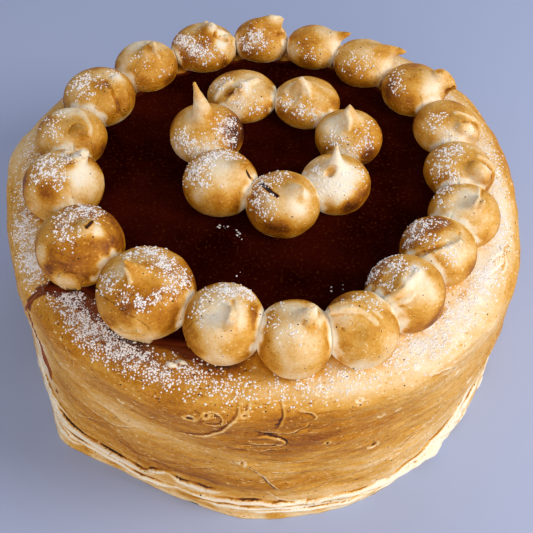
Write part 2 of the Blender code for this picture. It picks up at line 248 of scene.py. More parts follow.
TOASTED_ROUND_THE_BACK = 26
BACK_TOAST_HEIGHTS = (20, 60, 40, 76)

# Where the icing sugar fell on the coat: azimuth, height, half widths and how thick.
Dusting = namedtuple("Dusting", "azimuth height half_width half_height amount")
DUST_SHARE, DUST_FALL, SWEPT_OFF = 0.8, 1.3, 0.75  # the glaze lets little of the coat's dust show
DUSTED = (
    (-138, 91, 7, 7, 1.2), (-130, 89, 8, 6.5, 1.25), (-120, 89, 9, 6, 1.25), (-111, 87, 7, 5, 1.0),
    (-140, 97, 5, 5, 1.1), (-126, 83, 8, 3, 0.7), (-107, 89, 9, 7, 0.8), (-96, 88, 9, 6, 0.75),
    (-84, 89, 10, 6, 0.75), (-72, 89, 10, 6, 0.75), (-61, 90, 9, 7, 0.75), (-52, 90, 8, 9, 1.1),
    (-42, 91, 9, 8, 1.1), (-30, 92, 9, 8, 1.1), (-14, 92, 12, 7, 1.05), (8, 93, 16, 8, 1.0),
    (34, 93, 16, 8, 0.65), (-153, 86, 8, 6, 1.25), (-163, 88, 10, 7, 1.15), (-175, 89, 8, 6, 1.0),
    (172, 89, 14, 6, 0.7), (146, 90, 16, 6, 0.65), (112, 91, 20, 6, 0.5), (74, 91, 22, 6, 0.45),
)

# Where a film of glaze crept out under the ring and over the edge: azimuth, height and half width.
CREPT = (
    (-100, 97, 0.8), (-108, 98, 2.4), (-117, 99.5, 2.6), (-124, 100, 3.0), (-131, 97, 4.5), (-137, 95, 5.0),
    (-142, 91, 4.6), (-145, 87, 3.6), (-145.5, 82, 2.2), (-145.2, 75, 1.2),
)


def apart(first, second):
    """How far one azimuth lies past another, in degrees."""
    return (first - second + 180) % 360 - 180


def waves(points, length, seed, count=28):
    """Smooth seeded noise of about unit height: ripples of one length in many directions."""
    draw = np.random.default_rng(seed)
    ways = draw.normal(size=(count, 3))
    ways *= (2 * math.pi / length * draw.uniform(0.7, 1.4, count) / np.linalg.norm(ways, axis=1))[:, None]
    return np.cos(points @ ways.T + draw.uniform(0, 2 * math.pi, count)).sum(1) / math.sqrt(count / 2)


def smoothstep(low, high, value):
    t = np.clip((value - low) / (high - low), 0, 1)
    return t * t * (3 - 2 * t)


def soft_round(values, spread):
    """Smooths along the first axis, which runs round the cake and closes."""
    reach = int(3 * spread) + 1
    weights = np.exp(-0.5 * (np.arange(-reach, reach + 1) / spread) ** 2)
    weights /= weights.sum()
    return sum(w * np.roll(values, k, axis=0) for w, k in zip(weights, range(-reach, reach + 1)))


def steps(table):
    return np.concatenate([np.arange(low, high, step) for low, step, high in table])


def read_mesh(obj):
    """Corners, in millimetres, and triangles."""
    corners = np.array([v.co for v in obj.data.vertices]) / MM
    return corners, [tuple(face.vertices) for face in obj.data.polygons]


body_corners, body_faces = read_mesh(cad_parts["cake_body"])
glaze_corners, glaze_faces = read_mesh(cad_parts["chocolate_glaze"])
cake_corners = np.concatenate([body_corners, glaze_corners])
cake_faces = body_faces + [tuple(i + len(body_corners) for i in face) for face in glaze_faces]
cake_tree = BVHTree.FromPolygons([tuple(p) for p in cake_corners], cake_faces)


def coat_stations(azimuth):
    """Where rays start and which way they look: up the side, over the shoulder and over the top."""
    angle = math.radians(azimuth)
    out = Vector((math.cos(angle), math.sin(angle), 0))
    axis = Vector((*AXIS, 0))
    for height in (0.1, 1, 2, 3.5, 5, 7, 9, 11, 13, 15.5, *range(18, 63, 3)):
        yield axis + out * OUTSIDE + Vector((0, 0, height)), -out
    core = axis + out * CORE_RADIUS + Vector((0, 0, CORE_HEIGHT))
    for lift in range(0, 91, 5):
        way = out * math.cos(math.radians(lift)) + Vector((0, 0, math.sin(math.radians(lift))))
        yield core + way * 90, -way
    for share in (0.9, 0.75, 0.5, 0.25):
        yield axis + out * CORE_RADIUS * share + Vector((0, 0, OUTSIDE)), Vector((0, 0, -1))


coarse = np.arange(0, 360, 2.0)
read = np.array([[tuple(cake_tree.ray_cast(*ray)[0]) for ray in coat_stations(a)] for a in coarse])
read = soft_round(read - [*AXIS, 0], 1.0) + [*AXIS, 0]
lengths = np.linalg.norm(np.diff(read, axis=1), axis=2).mean(0)
station_up = np.concatenate([[0], np.cumsum(lengths)])

columns = steps(COLUMN_STEPS)
side_rows = steps(COAT_STEPS)
top_rows = np.linspace(side_rows[-1], station_up[-1], 12)[1:]
rows = np.concatenate([side_rows, top_rows])
across_column = np.interp(columns % 360, np.append(coarse, 360), np.arange(len(coarse) + 1))
low_column = across_column.astype(int)
share = (across_column - low_column)[:, None, None]
around = read[low_column % len(coarse)] * (1 - share) + read[(low_column + 1) % len(coarse)] * share
up_station = np.interp(rows, station_up, np.arange(len(station_up)))
low_station = np.minimum(up_station.astype(int), len(station_up) - 2)
share = (up_station - low_station)[None, :, None]
coat = around[:, low_station] * (1 - share) + around[:, low_station + 1] * share
for _ in range(3):
    coat[:, 16:-1] = (coat[:, 15:-2] + 2 * coat[:, 16:-1] + coat[:, 17:]) / 4

up_coat = np.broadcast_to(rows, coat.shape[:2])
azimuth_of = np.broadcast_to(columns[:, None], coat.shape[:2])
along_row = np.roll(coat, -1, axis=0) - np.roll(coat, 1, axis=0)
along_column = np.gradient(coat, axis=1)
normal = np.cross(along_row, along_column)
normal /= np.linalg.norm(normal, axis=2, keepdims=True) + 1e-9
flat = coat.reshape(-1, 3)


def from_path(path):
    """For each point of the coat: its distance to a path, below it negative, and how far along it lies."""
    path = np.array(path, float)
    span = np.array([math.radians(1) * COAT_RADIUS, 1.0])
    nearest = np.full(azimuth_of.shape, 1e6)
    signed = np.full(azimuth_of.shape, 1e6)
    share_along = np.zeros(azimuth_of.shape)
    middle = path[:, 0].mean()
    here = np.stack([apart(azimuth_of, middle) * span[0], up_coat], axis=-1)
    ends = (path - [middle, 0]) * span
    total = np.linalg.norm(np.diff(ends, axis=0), axis=1).sum()
    passed = 0.0
    for start, end in zip(ends, ends[1:]):
        run = end - start
        length = np.linalg.norm(run)
        away = here - start
        t = np.clip((away @ run) / length**2, 0, 1)
        gap = away - t[..., None] * run
        distance = np.linalg.norm(gap, axis=-1)
        side = np.sign(run[0] * away[..., 1] - run[1] * away[..., 0])
        closer = distance < nearest
        nearest = np.where(closer, distance, nearest)
        signed = np.where(closer, distance * side, signed)
        share_along = np.where(closer, (passed + t * length) / total, share_along)
        passed += length
    return signed, share_along


def rounded(path):
    """A path with its corners rounded, by cutting them twice."""
    points = np.array(path, float)
    for _ in range(2):
        cut = np.empty((2 * len(points) - 2, points.shape[1]))
        cut[0::2] = 0.75 * points[:-1] + 0.25 * points[1:]
        cut[1::2] = 0.25 * points[:-1] + 0.75 * points[1:]
        points = np.concatenate([points[:1], cut, points[-1:]])
    return points


def ripples(points, length, seed):
    """Smooth seeded noise at each point of the coat."""
    return waves(points, length, seed).reshape(azimuth_of.shape)


def away_from(place):
    """How far each point of the coat lies from a place, squared, in its half widths."""
    around = apart(azimuth_of, place.azimuth) / place.half_width
    return around**2 + ((up_coat - place.height) / place.half_height) ** 2


draw = np.random.default_rng(FOLD_SEED)
all_folds = list(map(Fold._make, FOLDS))
for number in range(FOLDS_ROUND_THE_BACK):
    azimuth = -8 + 196 * (number + draw.uniform(0, 1)) / FOLDS_ROUND_THE_BACK
    height = BACK_FOLD_HEIGHTS[number % len(BACK_FOLD_HEIGHTS)] + draw.uniform(-5, 5)
    length, rise = draw.uniform(5, 13), draw.uniform(-0.6, 0.6)
    path = [(azimuth + length * k, height + rise * length * k + 2.5 * k * k) for k in (-1, -0.5, 0, 0.5, 1)]
    all_folds.append(Fold(draw.uniform(0.3, 1.0), draw.uniform(2, 5), draw.uniform(0.05, 0.35), path))
relief = np.zeros(azimuth_of.shape)
paled = np.zeros(azimuth_of.shape)
marks = {"fold": relief + NO_FOLD, "fold_strength": relief + 0.0, "fold_scorch": relief + 0.0}


def fold_profile(signed, slope, sharp, under, width):
    """A lip that falls away above its edge, and the groove below it."""
    lip = smoothstep(-sharp, 0.3, signed) * np.exp(-np.maximum(signed, 0) / slope)
    return lip, np.exp(-(((signed + under) / width) ** 2))


def mark(signed, strength, scorch_and_shade, seen):
    """Where a fold is the nearest yet, the material gets its distance, its strength, and its scorch with
    painted shade.
    """
    nearer = (np.abs(signed) < np.abs(marks["fold"])) & seen
    for label, values in (("fold", signed), ("fold_strength", strength), ("fold_scorch", scorch_and_shade)):
        marks[label] = np.where(nearer, values, marks[label])


wander = WANDER * ripples(flat, 9.0, 3)
gappy = 0.3 + 0.7 * smoothstep(-1.0, 0.7, ripples(flat, 13.0, 7))
for fold in all_folds:
    thick = fold.proud > THICK_LIP
    signed, share_along = from_path(rounded(fold.path[::-1] if thick else fold.path))
    signed = signed + wander
    strength = np.sqrt(np.clip(np.sin(math.pi * np.clip(share_along, 0.004, 0.996)), 0, 1))
    lip, groove = fold_profile(signed, fold.slope, *FOLD_EDGE)
    relief += strength * (fold.proud * lip - FOLD_CUT * fold.groove * groove)
    if thick:
        paled += strength * smoothstep(-0.5, 0.2, signed) * np.exp(-np.maximum(signed, 0) / 2.2)
    shown = strength * min(1.0, fold.proud + 0.1)
    # the groove's depth also sets how much scorch and painted shade the material lays in it
    mark(signed, shown, strength * fold.groove * (gappy if thick else 1), shown > LEAST_STRENGTH)

for pit in map(Pit._make, PITS):
    across = np.radians(apart(azimuth_of, pit.azimuth)) * COAT_RADIUS / pit.half_width
    out = np.hypot(across, (up_coat - pit.height) / pit.half_height)
    signed = (out - 1) * min(pit.half_width, pit.half_height)
    near = np.abs(signed) < 2.5
    relief += near * (0.35 * np.exp(-np.abs(signed) / 0.5) - pit.depth * smoothstep(0.1, -0.9, signed))
    # the hollow inside each rim gets painted shade with its scorch
    mark(signed, 0.6, 0.8, near)

foot_line = np.stack([coat[:, 0, 0], coat[:, 0, 1], 0 * columns], 1)
folded_by_hand = smoothstep(14, 4, np.abs(apart(columns, -107)) - 32)  # the front has its own folds
for number, (height, wave, proud) in enumerate(FOOT_LIPS):
    line = height + wave * waves(foot_line, 34.0, 20 + number)
    broken = smoothstep(-0.5, 0.4, waves(foot_line, 24.0, 30 + number)) * (1 - folded_by_hand)
    signed = line[:, None] - up_coat + wander
    strength = broken[:, None] * (np.abs(signed) < 9)
    lip, groove = fold_profile(signed, FOOT_SLOPE, *FOOT_EDGE)
    relief += strength * (proud * lip - FOOT_CUT * groove)
    # the groove under each foot lip gets painted shade with its scorch
    mark(signed, strength, 0.7 * strength * gappy, strength > 2 * LEAST_STRENGTH)

streaked = flat * [1, 1, 3.5]
for points, length, seed, proud in (
    (flat, 38.0, 4, 0.45), (streaked, 14.0, 5, 0.16), (streaked, 5.0, 6, 0.05),
):
    relief += proud * ripples(points, length, seed)
relief *= np.clip((112 - up_coat) / 16, 0, 1)  # the flat top stays flat

glaze_rim = {}
for x, y, _ in glaze_corners:
    key = round(math.degrees(math.atan2(y - GLAZE_CENTRE[1], x - GLAZE_CENTRE[0])) / 6) * 6 % 360
    glaze_rim[key] = max(glaze_rim.get(key, 0.0), math.hypot(x - GLAZE_CENTRE[0], y - GLAZE_CENTRE[1]))
rim_azimuths = np.array(sorted(glaze_rim))
rim_radii = np.array([glaze_rim[a] for a in rim_azimuths])


def glaze_reach(x, y):
    """How far the glaze reaches out past a point, in millimetres, seen from above."""
    azimuth = np.degrees(np.arctan2(y - GLAZE_CENTRE[1], x - GLAZE_CENTRE[0])) % 360
    edge = np.interp(azimuth, np.append(rim_azimuths, 360), np.append(rim_radii, rim_radii[0]))
    edge = edge + 0.5 * np.sin(np.radians(azimuth) * 23) + 0.4 * np.sin(np.radians(azimuth) * 41 + 1)
    return edge - np.hypot(x - GLAZE_CENTRE[0], y - GLAZE_CENTRE[1])


under_glaze = smoothstep(0.0, 1.6, glaze_reach(coat[..., 0], coat[..., 1])) * (coat[..., 2] > 70)
coat = coat + normal * (relief * (1 - under_glaze))[..., None]
coat[..., 2] -= RECESS_DEPTH * under_glaze
coat[:, 0, 2] = 0.0
coat[..., 2] = np.maximum(coat[..., 2], 0.0)

# toast holds how brown the torch made each point, with painted shade added below where it falls
toast = np.full(azimuth_of.shape, TOAST_GROUND)
patches = list(map(Patch._make, TOASTED_AND_SHADED))
for number in range(TOASTED_ROUND_THE_BACK):
    patches.append(
        Patch(
            azimuth=-12 + 205 * (number + draw.uniform(0, 1)) / TOASTED_ROUND_THE_BACK,
            height=BACK_TOAST_HEIGHTS[number % len(BACK_TOAST_HEIGHTS)] + draw.uniform(-8, 8),
            half_width=draw.uniform(10, 20),
            half_height=draw.uniform(7, 14),
            toast=draw.uniform(-0.16, 0.30),
        )
    )
for patch in patches:
    toast += PATCH_SHARE * patch.toast * np.exp(-PATCH_FALL * away_from(patch))
for length, seed, depth in ((60.0, 8, 0.03), (22.0, 9, 0.02), (9.0, 10, 0.02)):
    toast += depth * ripples(streaked, length, seed)
pressed_foot = smoothstep(12, 3, up_coat) * smoothstep(-1.2, 0.6, ripples(flat, 16.0, 12))
toast -= FOOT_PALER * pressed_foot + LIP_PALER * np.minimum(paled, 1)
# a darker band 2.5 to 4.5 mm up the foot: painted shade under the lowest lips
toast += FOOT_LINE_SHADE * smoothstep(7, 4.5, up_coat) * smoothstep(0.5, 2.5, up_coat)
dust = np.zeros(azimuth_of.shape)
for fall in map(Dusting._make, DUSTED):
    dust = np.maximum(dust, DUST_SHARE * fall.amount * np.exp(-(away_from(fall) ** DUST_FALL)))
dust *= 1 - SWEPT_OFF * under_glaze

signed, share_along = from_path(rounded([place[:2] for place in CREPT]))
half_widths = np.interp(share_along, np.linspace(0, 1, len(CREPT)), [place[2] for place in CREPT])
stain = smoothstep(1.2, -0.6, np.abs(signed) - half_widths + 1.6 * wander)


def closed_skin(name, grid, low_end, high_end, attributes):
    """A closed mesh from rows of points round an axis, in millimetres, with named values at its points."""
    count, height = grid.shape[:2]
    corners = np.concatenate([grid.transpose(1, 0, 2).reshape(-1, 3), [low_end, high_end]]) * MM
    index = np.arange(count * height).reshape(height, count)
    right_of = np.roll(index, -1, axis=1)
    quads = np.stack([index[:-1], right_of[:-1], right_of[1:], index[1:]], axis=-1).reshape(-1, 4)
    low, high = len(corners) - 2, len(corners) - 1
    fans = [(low, int(b), int(a)) for a, b in zip(index[0], right_of[0])]
    fans += [(high, int(a), int(b)) for a, b in zip(index[-1], right_of[-1])]
    mesh = bpy.data.meshes.new(name)
    mesh.from_pydata([tuple(p) for p in corners], [], [tuple(map(int, q)) for q in quads] + fans)
    for label, values in attributes.items():
        ends = [float(values[:, 0].mean()), float(values[:, -1].mean())]
        data = np.concatenate([values.T.reshape(-1), ends]).astype(np.float32)
        mesh.attributes.new(label, "FLOAT", "POINT").data.foreach_set("value", data)
    mesh.shade_smooth()
    return stand(name, mesh)


coat_piece = closed_skin(
    "meringue_coat",
    coat,
    (*AXIS, 0.0),
    (*AXIS, float(coat[:, -1, 2].mean())),
    {"toast": toast, "dust": dust, "stain": stain, **marks},
)

# Torched meringue: dried foam, satin, pale where the flame missed it and amber to brown where it stayed.
# The eye sees soft streaks along the knife's way, pale torn edges, and dark pores of burst bubbles;
# the pores' dark is painted shade, and the grooves under folds get scorch and painted shade.
MERINGUE_TONES = (
    (0.00, "FCF2DE"),
    (0.16, "F6E3C0"),
    (0.32, "EDCA92"),
    (0.48, "DCA547"),
    (0.62, "C07E15"),
    (0.76, "94530A"),
    (0.88, "60300C"),
    (1.00, "2E160C"),
)
PORE_SPACING = 2.6
STREAK_WAVER = 12.0  # how far the knife's streaks wander up and down


def add(tree, kind, inputs=None, output=0, **settings):
    """Adds a node with its settings, links or values, and gives back one of its outputs."""
    made = tree.nodes.new(kind)
    for name, value in settings.items():
        setattr(made, name, value)
    for socket, value in (inputs or {}).items():
        if isinstance(value, bpy.types.NodeSocket):
            tree.links.new(value, made.inputs[socket])
        else:
            made.inputs[socket].default_value = value
    return made.outputs[output] if len(made.outputs) else made


def meringue(name, haze, streaks, dashes):
    """The material of coat and dollops: haze, streaks and dashes have a size, a stretch and an amount."""
    material, shader = new_material(
        name,
        {"Specular IOR Level": 0.2, "Subsurface Weight": 0.08, "Subsurface Radius": (1.0, 0.55, 0.25),
         "Subsurface Scale": 3.0 * MM},
    )
    tree = material.node_tree
    place = add(tree, "ShaderNodeTexCoord", output=3)
    plain = add(tree, "ShaderNodeMapping", {"Vector": place, "Scale": (1 / MM, 1 / MM, 1 / MM)})
    stretched = add(tree, "ShaderNodeMapping", {"Vector": plain, "Scale": (1, 1, 1.5)})
    # the toast attribute is the torch's browning with painted shade laid on it
    toasted_and_shaded, fold, strength, scorch_and_shade, stained, dusted = (
        add(tree, "ShaderNodeAttribute", output=2, attribute_name=label)
        for label in ("toast", "fold", "fold_strength", "fold_scorch", "stain", "dust")
    )
    waver, mottle, film, gathered, specks, fine = (
        add(
            tree, "ShaderNodeTexNoise",
            {"Vector": drawn, "Scale": scale, "Detail": detail, "Roughness": rough},
        )
        for drawn, scale, detail, rough in (
            (plain, 0.022, 2.0, 0.5), (plain, 0.9, 3.0, 0.6), (plain, 0.8, 2.0, 0.75),
            (plain, 0.22, 2.0, 0.5), (plain, 2.3, 1.0, 0.6), (stretched, 0.8, 5.0, 0.6),
        )
    )
    speckle = add(tree, "ShaderNodeMath", {0: mottle, 1: 0.5}, operation="SUBTRACT")

    # the knife's or the nozzle's way: soft haze, finer streaks, and dashes where the skin tore
    waver = add(tree, "ShaderNodeMath", {0: waver, 1: STREAK_WAVER}, operation="MULTIPLY")
    waver = add(tree, "ShaderNodeCombineXYZ", {2: waver})
    swept = add(tree, "ShaderNodeVectorMath", {0: plain, 1: waver}, operation="ADD")
    hazy, streaky, torn = (
        add(
            tree, "ShaderNodeTexNoise",
            {"Vector": add(tree, "ShaderNodeMapping", {"Vector": swept, "Scale": (1, 1, stretch)}),
             "Scale": 1 / size, "Detail": detail, "Roughness": rough},
        )
        for (size, stretch, _), detail, rough in ((haze, 5.0, 0.55), (streaks, 5.0, 0.55), (dashes, 2.0, 0.5))
    )
    varied = toasted_and_shaded
    for swing, (*_, amount) in ((hazy, haze), (streaky, streaks)):
        swing = add(tree, "ShaderNodeMath", {0: swing, 1: 0.5}, operation="SUBTRACT")
        varied = add(tree, "ShaderNodeMath", {0: swing, 1: amount, 2: varied}, operation="MULTIPLY_ADD")

    # pores: small cells, a few of them open, with painted shade inside and a pale rim
    cells = add(
        tree, "ShaderNodeTexVoronoi", {"Vector": stretched, "Scale": 1 / PORE_SPACING, "Randomness": 1.0}
    )
    picked = add(tree, "ShaderNodeSeparateColor", {0: cells.node.outputs["Color"]})
    open_cell = add(tree, "ShaderNodeMath", {0: picked, 1: 0.62}, operation="GREATER_THAN")
    size = add(tree, "ShaderNodeMapRange", {0: picked.node.outputs[1], 3: 0.07, 4: 0.2})
    edge = add(tree, "ShaderNodeMath", {0: cells, 1: size}, operation="DIVIDE")

    # torn edges stay pale, and the groove under one is darkened by scorch and painted shade
    torn_edge = add(tree, "ShaderNodeMath", {0: speckle, 1: 0.8, 2: fold}, operation="MULTIPLY_ADD")
    pale, dark, rim, hollow, crest, rises, groove, fades = (
        add(tree, "ShaderNodeMapRange", {0: value, 1: nought, 2: full}, interpolation_type="SMOOTHSTEP")
        for value, nought, full in (
            (torn, 0.64, 0.7), (torn, 0.36, 0.3), (edge, 1.7, 1.0), (edge, 1.0, 0.55),
            (torn_edge, 0.9, 0.1), (torn_edge, -0.4, -0.1), (torn_edge, -0.35, -0.6), (torn_edge, -1.5, -0.8),
        )
    )
    hollow = add(tree, "ShaderNodeMath", {0: hollow, 1: open_cell}, operation="MULTIPLY")
    # hollow lays painted shade in the pores, and groove lays scorch with painted shade under the folds
    for layer, masks, amount in (
        (pale, (), -dashes[2]), (dark, (), 0.7 * dashes[2]), (speckle, (), 0.22), (rim, (open_cell,), -0.09),
        (hollow, (), 0.75), (crest, (rises, strength), -0.42), (groove, (fades, scorch_and_shade), 0.46),
    ):
        for mask in masks:
            layer = add(tree, "ShaderNodeMath", {0: layer, 1: mask}, operation="MULTIPLY")
        varied = add(tree, "ShaderNodeMath", {0: layer, 1: amount, 2: varied}, operation="MULTIPLY_ADD")
    baked = add(tree, "ShaderNodeValToRGB", {0: varied})
    ramp = baked.node.color_ramp
    while len(ramp.elements) < len(MERINGUE_TONES):
        ramp.elements.new(0.5)
    for element, (position, code) in zip(ramp.elements, MERINGUE_TONES):
        element.position = position
        element.color = colour(code)

    # a film of glaze lets the toasted meringue show through, red-brown
    stained = add(tree, "ShaderNodeMath", {0: speckle, 1: 0.9, 2: stained}, operation="MULTIPLY_ADD")
    stained = add(
        tree, "ShaderNodeMapRange", {0: stained, 1: 0.25, 2: 0.9, 4: 0.93}, interpolation_type="SMOOTHSTEP"
    )
    baked = add(
        tree, "ShaderNodeMix", {0: stained, 6: baked, 7: colour("6E2A0C")}, output=2, data_type="RGBA"
    )

    # icing sugar too fine for grains: a broken white film
    film = add(tree, "ShaderNodeMath", {0: gathered, 1: 0.15, 2: film}, operation="MULTIPLY_ADD")
    sugary = []
    for noise, share, nought, full in ((film, 0.31, 0.96, 1.01), (specks, 0.2, 0.75, 0.8)):
        value = add(tree, "ShaderNodeMath", {0: dusted, 1: share, 2: noise}, operation="MULTIPLY_ADD")
        value = add(
            tree, "ShaderNodeMapRange", {0: value, 1: nought, 2: full}, interpolation_type="SMOOTHSTEP"
        )
        sugary.append(value)
    white = add(tree, "ShaderNodeMath", {0: sugary[0], 1: sugary[1]}, operation="MAXIMUM")
    white = add(tree, "ShaderNodeMath", {0: white, 1: 0.86}, operation="MULTIPLY")
    mixed = add(tree, "ShaderNodeMix", {0: white, 6: baked, 7: colour("F4F3F6")}, output=2, data_type="RGBA")
    tree.links.new(mixed, shader.inputs["Base Color"])

    worn = add(tree, "ShaderNodeMapRange", {0: varied, 1: 0.1, 2: 0.8, 3: 0.62, 4: 0.42})
    gloss = add(tree, "ShaderNodeMix", {0: white, 2: worn, 3: 0.9})
    tree.links.new(gloss, shader.inputs["Roughness"])
    height = add(tree, "ShaderNodeMath", {0: hollow, 1: -1.0, 2: fine}, operation="MULTIPLY_ADD")
    height = add(tree, "ShaderNodeMath", {0: white, 1: 0.8, 2: height}, operation="MULTIPLY_ADD")
    bump = add(tree, "ShaderNodeBump", {"Strength": 0.8, "Distance": 0.4 * MM, "Height": height})
    tree.links.new(bump, shader.inputs["Normal"])
    return material


spread_meringue = meringue("torched meringue, spread", (30, 3, 0.12), (8, 6, 0.2), (2.2, 4, 0.3))
coat_piece.data.materials.append(spread_meringue)
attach(coat_piece, "root")
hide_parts("cake_body")


# --------------------------------------------------------------------------------------------------
# The dollops: meringue pressed from a plain nozzle, one against the next, and torched where they stand.
# Each is a slumped dome with the tail that the nozzle drew out, in a tree that blends both and presses the
# dome flat where it meets its neighbours. Strokes are what the tail did as it fell: folds, lobes and creases.
TOP_HEIGHT = 86.0
WIDEST = 0.36
FOOT_SHARE = 0.86
BESIDE_POWER, ABOVE_POWER, ROUND_POWER = 2.2, 2.1, 2.15  # a little squarer than a ball
DOME_DEPTH = 0.85
TAIL_START = 0.42
LYING_ARCH, STANDING_ARCH = 1.02, 0.72
TAIL_TIP_RADIUS = 0.8
TAIL_TAPER, TALL_TAPER = 0.9, 1.5
TAIL_BLEND, LOBE_BLEND, DISH_BLEND, RIDGE_BLEND = 4.5, 1.6, 2.2, 0.8
SEAM_GAP, SEAM_BLEND, CREASE_BLEND, SEAT_BLEND = 0.2, 0.9, 0.5, 0.3
LUMPS = ((9.0, 0.9), (2.6, 0.22))  # length and height of the soft lumps of a dollop's skin
PULLED_UP = 2.0  # how much higher a soft tail stands than its solid's, and a tall one
TALL_TAIL, TALL_PULLED_UP = 24.0, 0.6
CELL = 0.48  # the size of the tree's sampling cells
SEAT_DEPTH = 0.25
DEEPEST_SAG = 12.0  # how far a foot may follow the shoulder down
SKIN_SEARCH = (0.5, 42.0, 0.25)  # where a ray from the heart looks for the skin: from, to, step
DOME_ROOM, TAIL_ROOM = 1.5, 2.5  # clear space round a dome and a tail in the box that the tree samples
GROUND_SHARE = 0.12  # how much a dollop's own tone counts beside the torch marks and their painted highlights and shade
GROUND_TONE, RIDGE_TONE, MIDDLE_TONE, TONE_SPREAD = 0.44, 0.12, 0.42, 1.4
# darker at the belly with toast and painted shade, and painted shade in creases and along cracks
BELLY_TOAST_AND_SHADE, CREASE_SHADE, CRACK_SHADE = 0.14, 0.14, 0.8
FOOT_RADIUS_SHARE, RING_TOAST_AND_SHADE, RING_TOAST_AND_SHADE_WIDTH = 0.92, 0.2, 1.6  # the line round the ring's feet: browned, and painted shade where the dollops stand
TAIL, RIDGE, CREASE, LOBE, DISH, CRACK = range(6)
# where a stroke's spine lies off the skin, in shares of its breadth
PROUD_SHARE = {RIDGE: -0.38, CREASE: 0.2, LOBE: -0.3, DISH: 0.86, CRACK: 0.1}
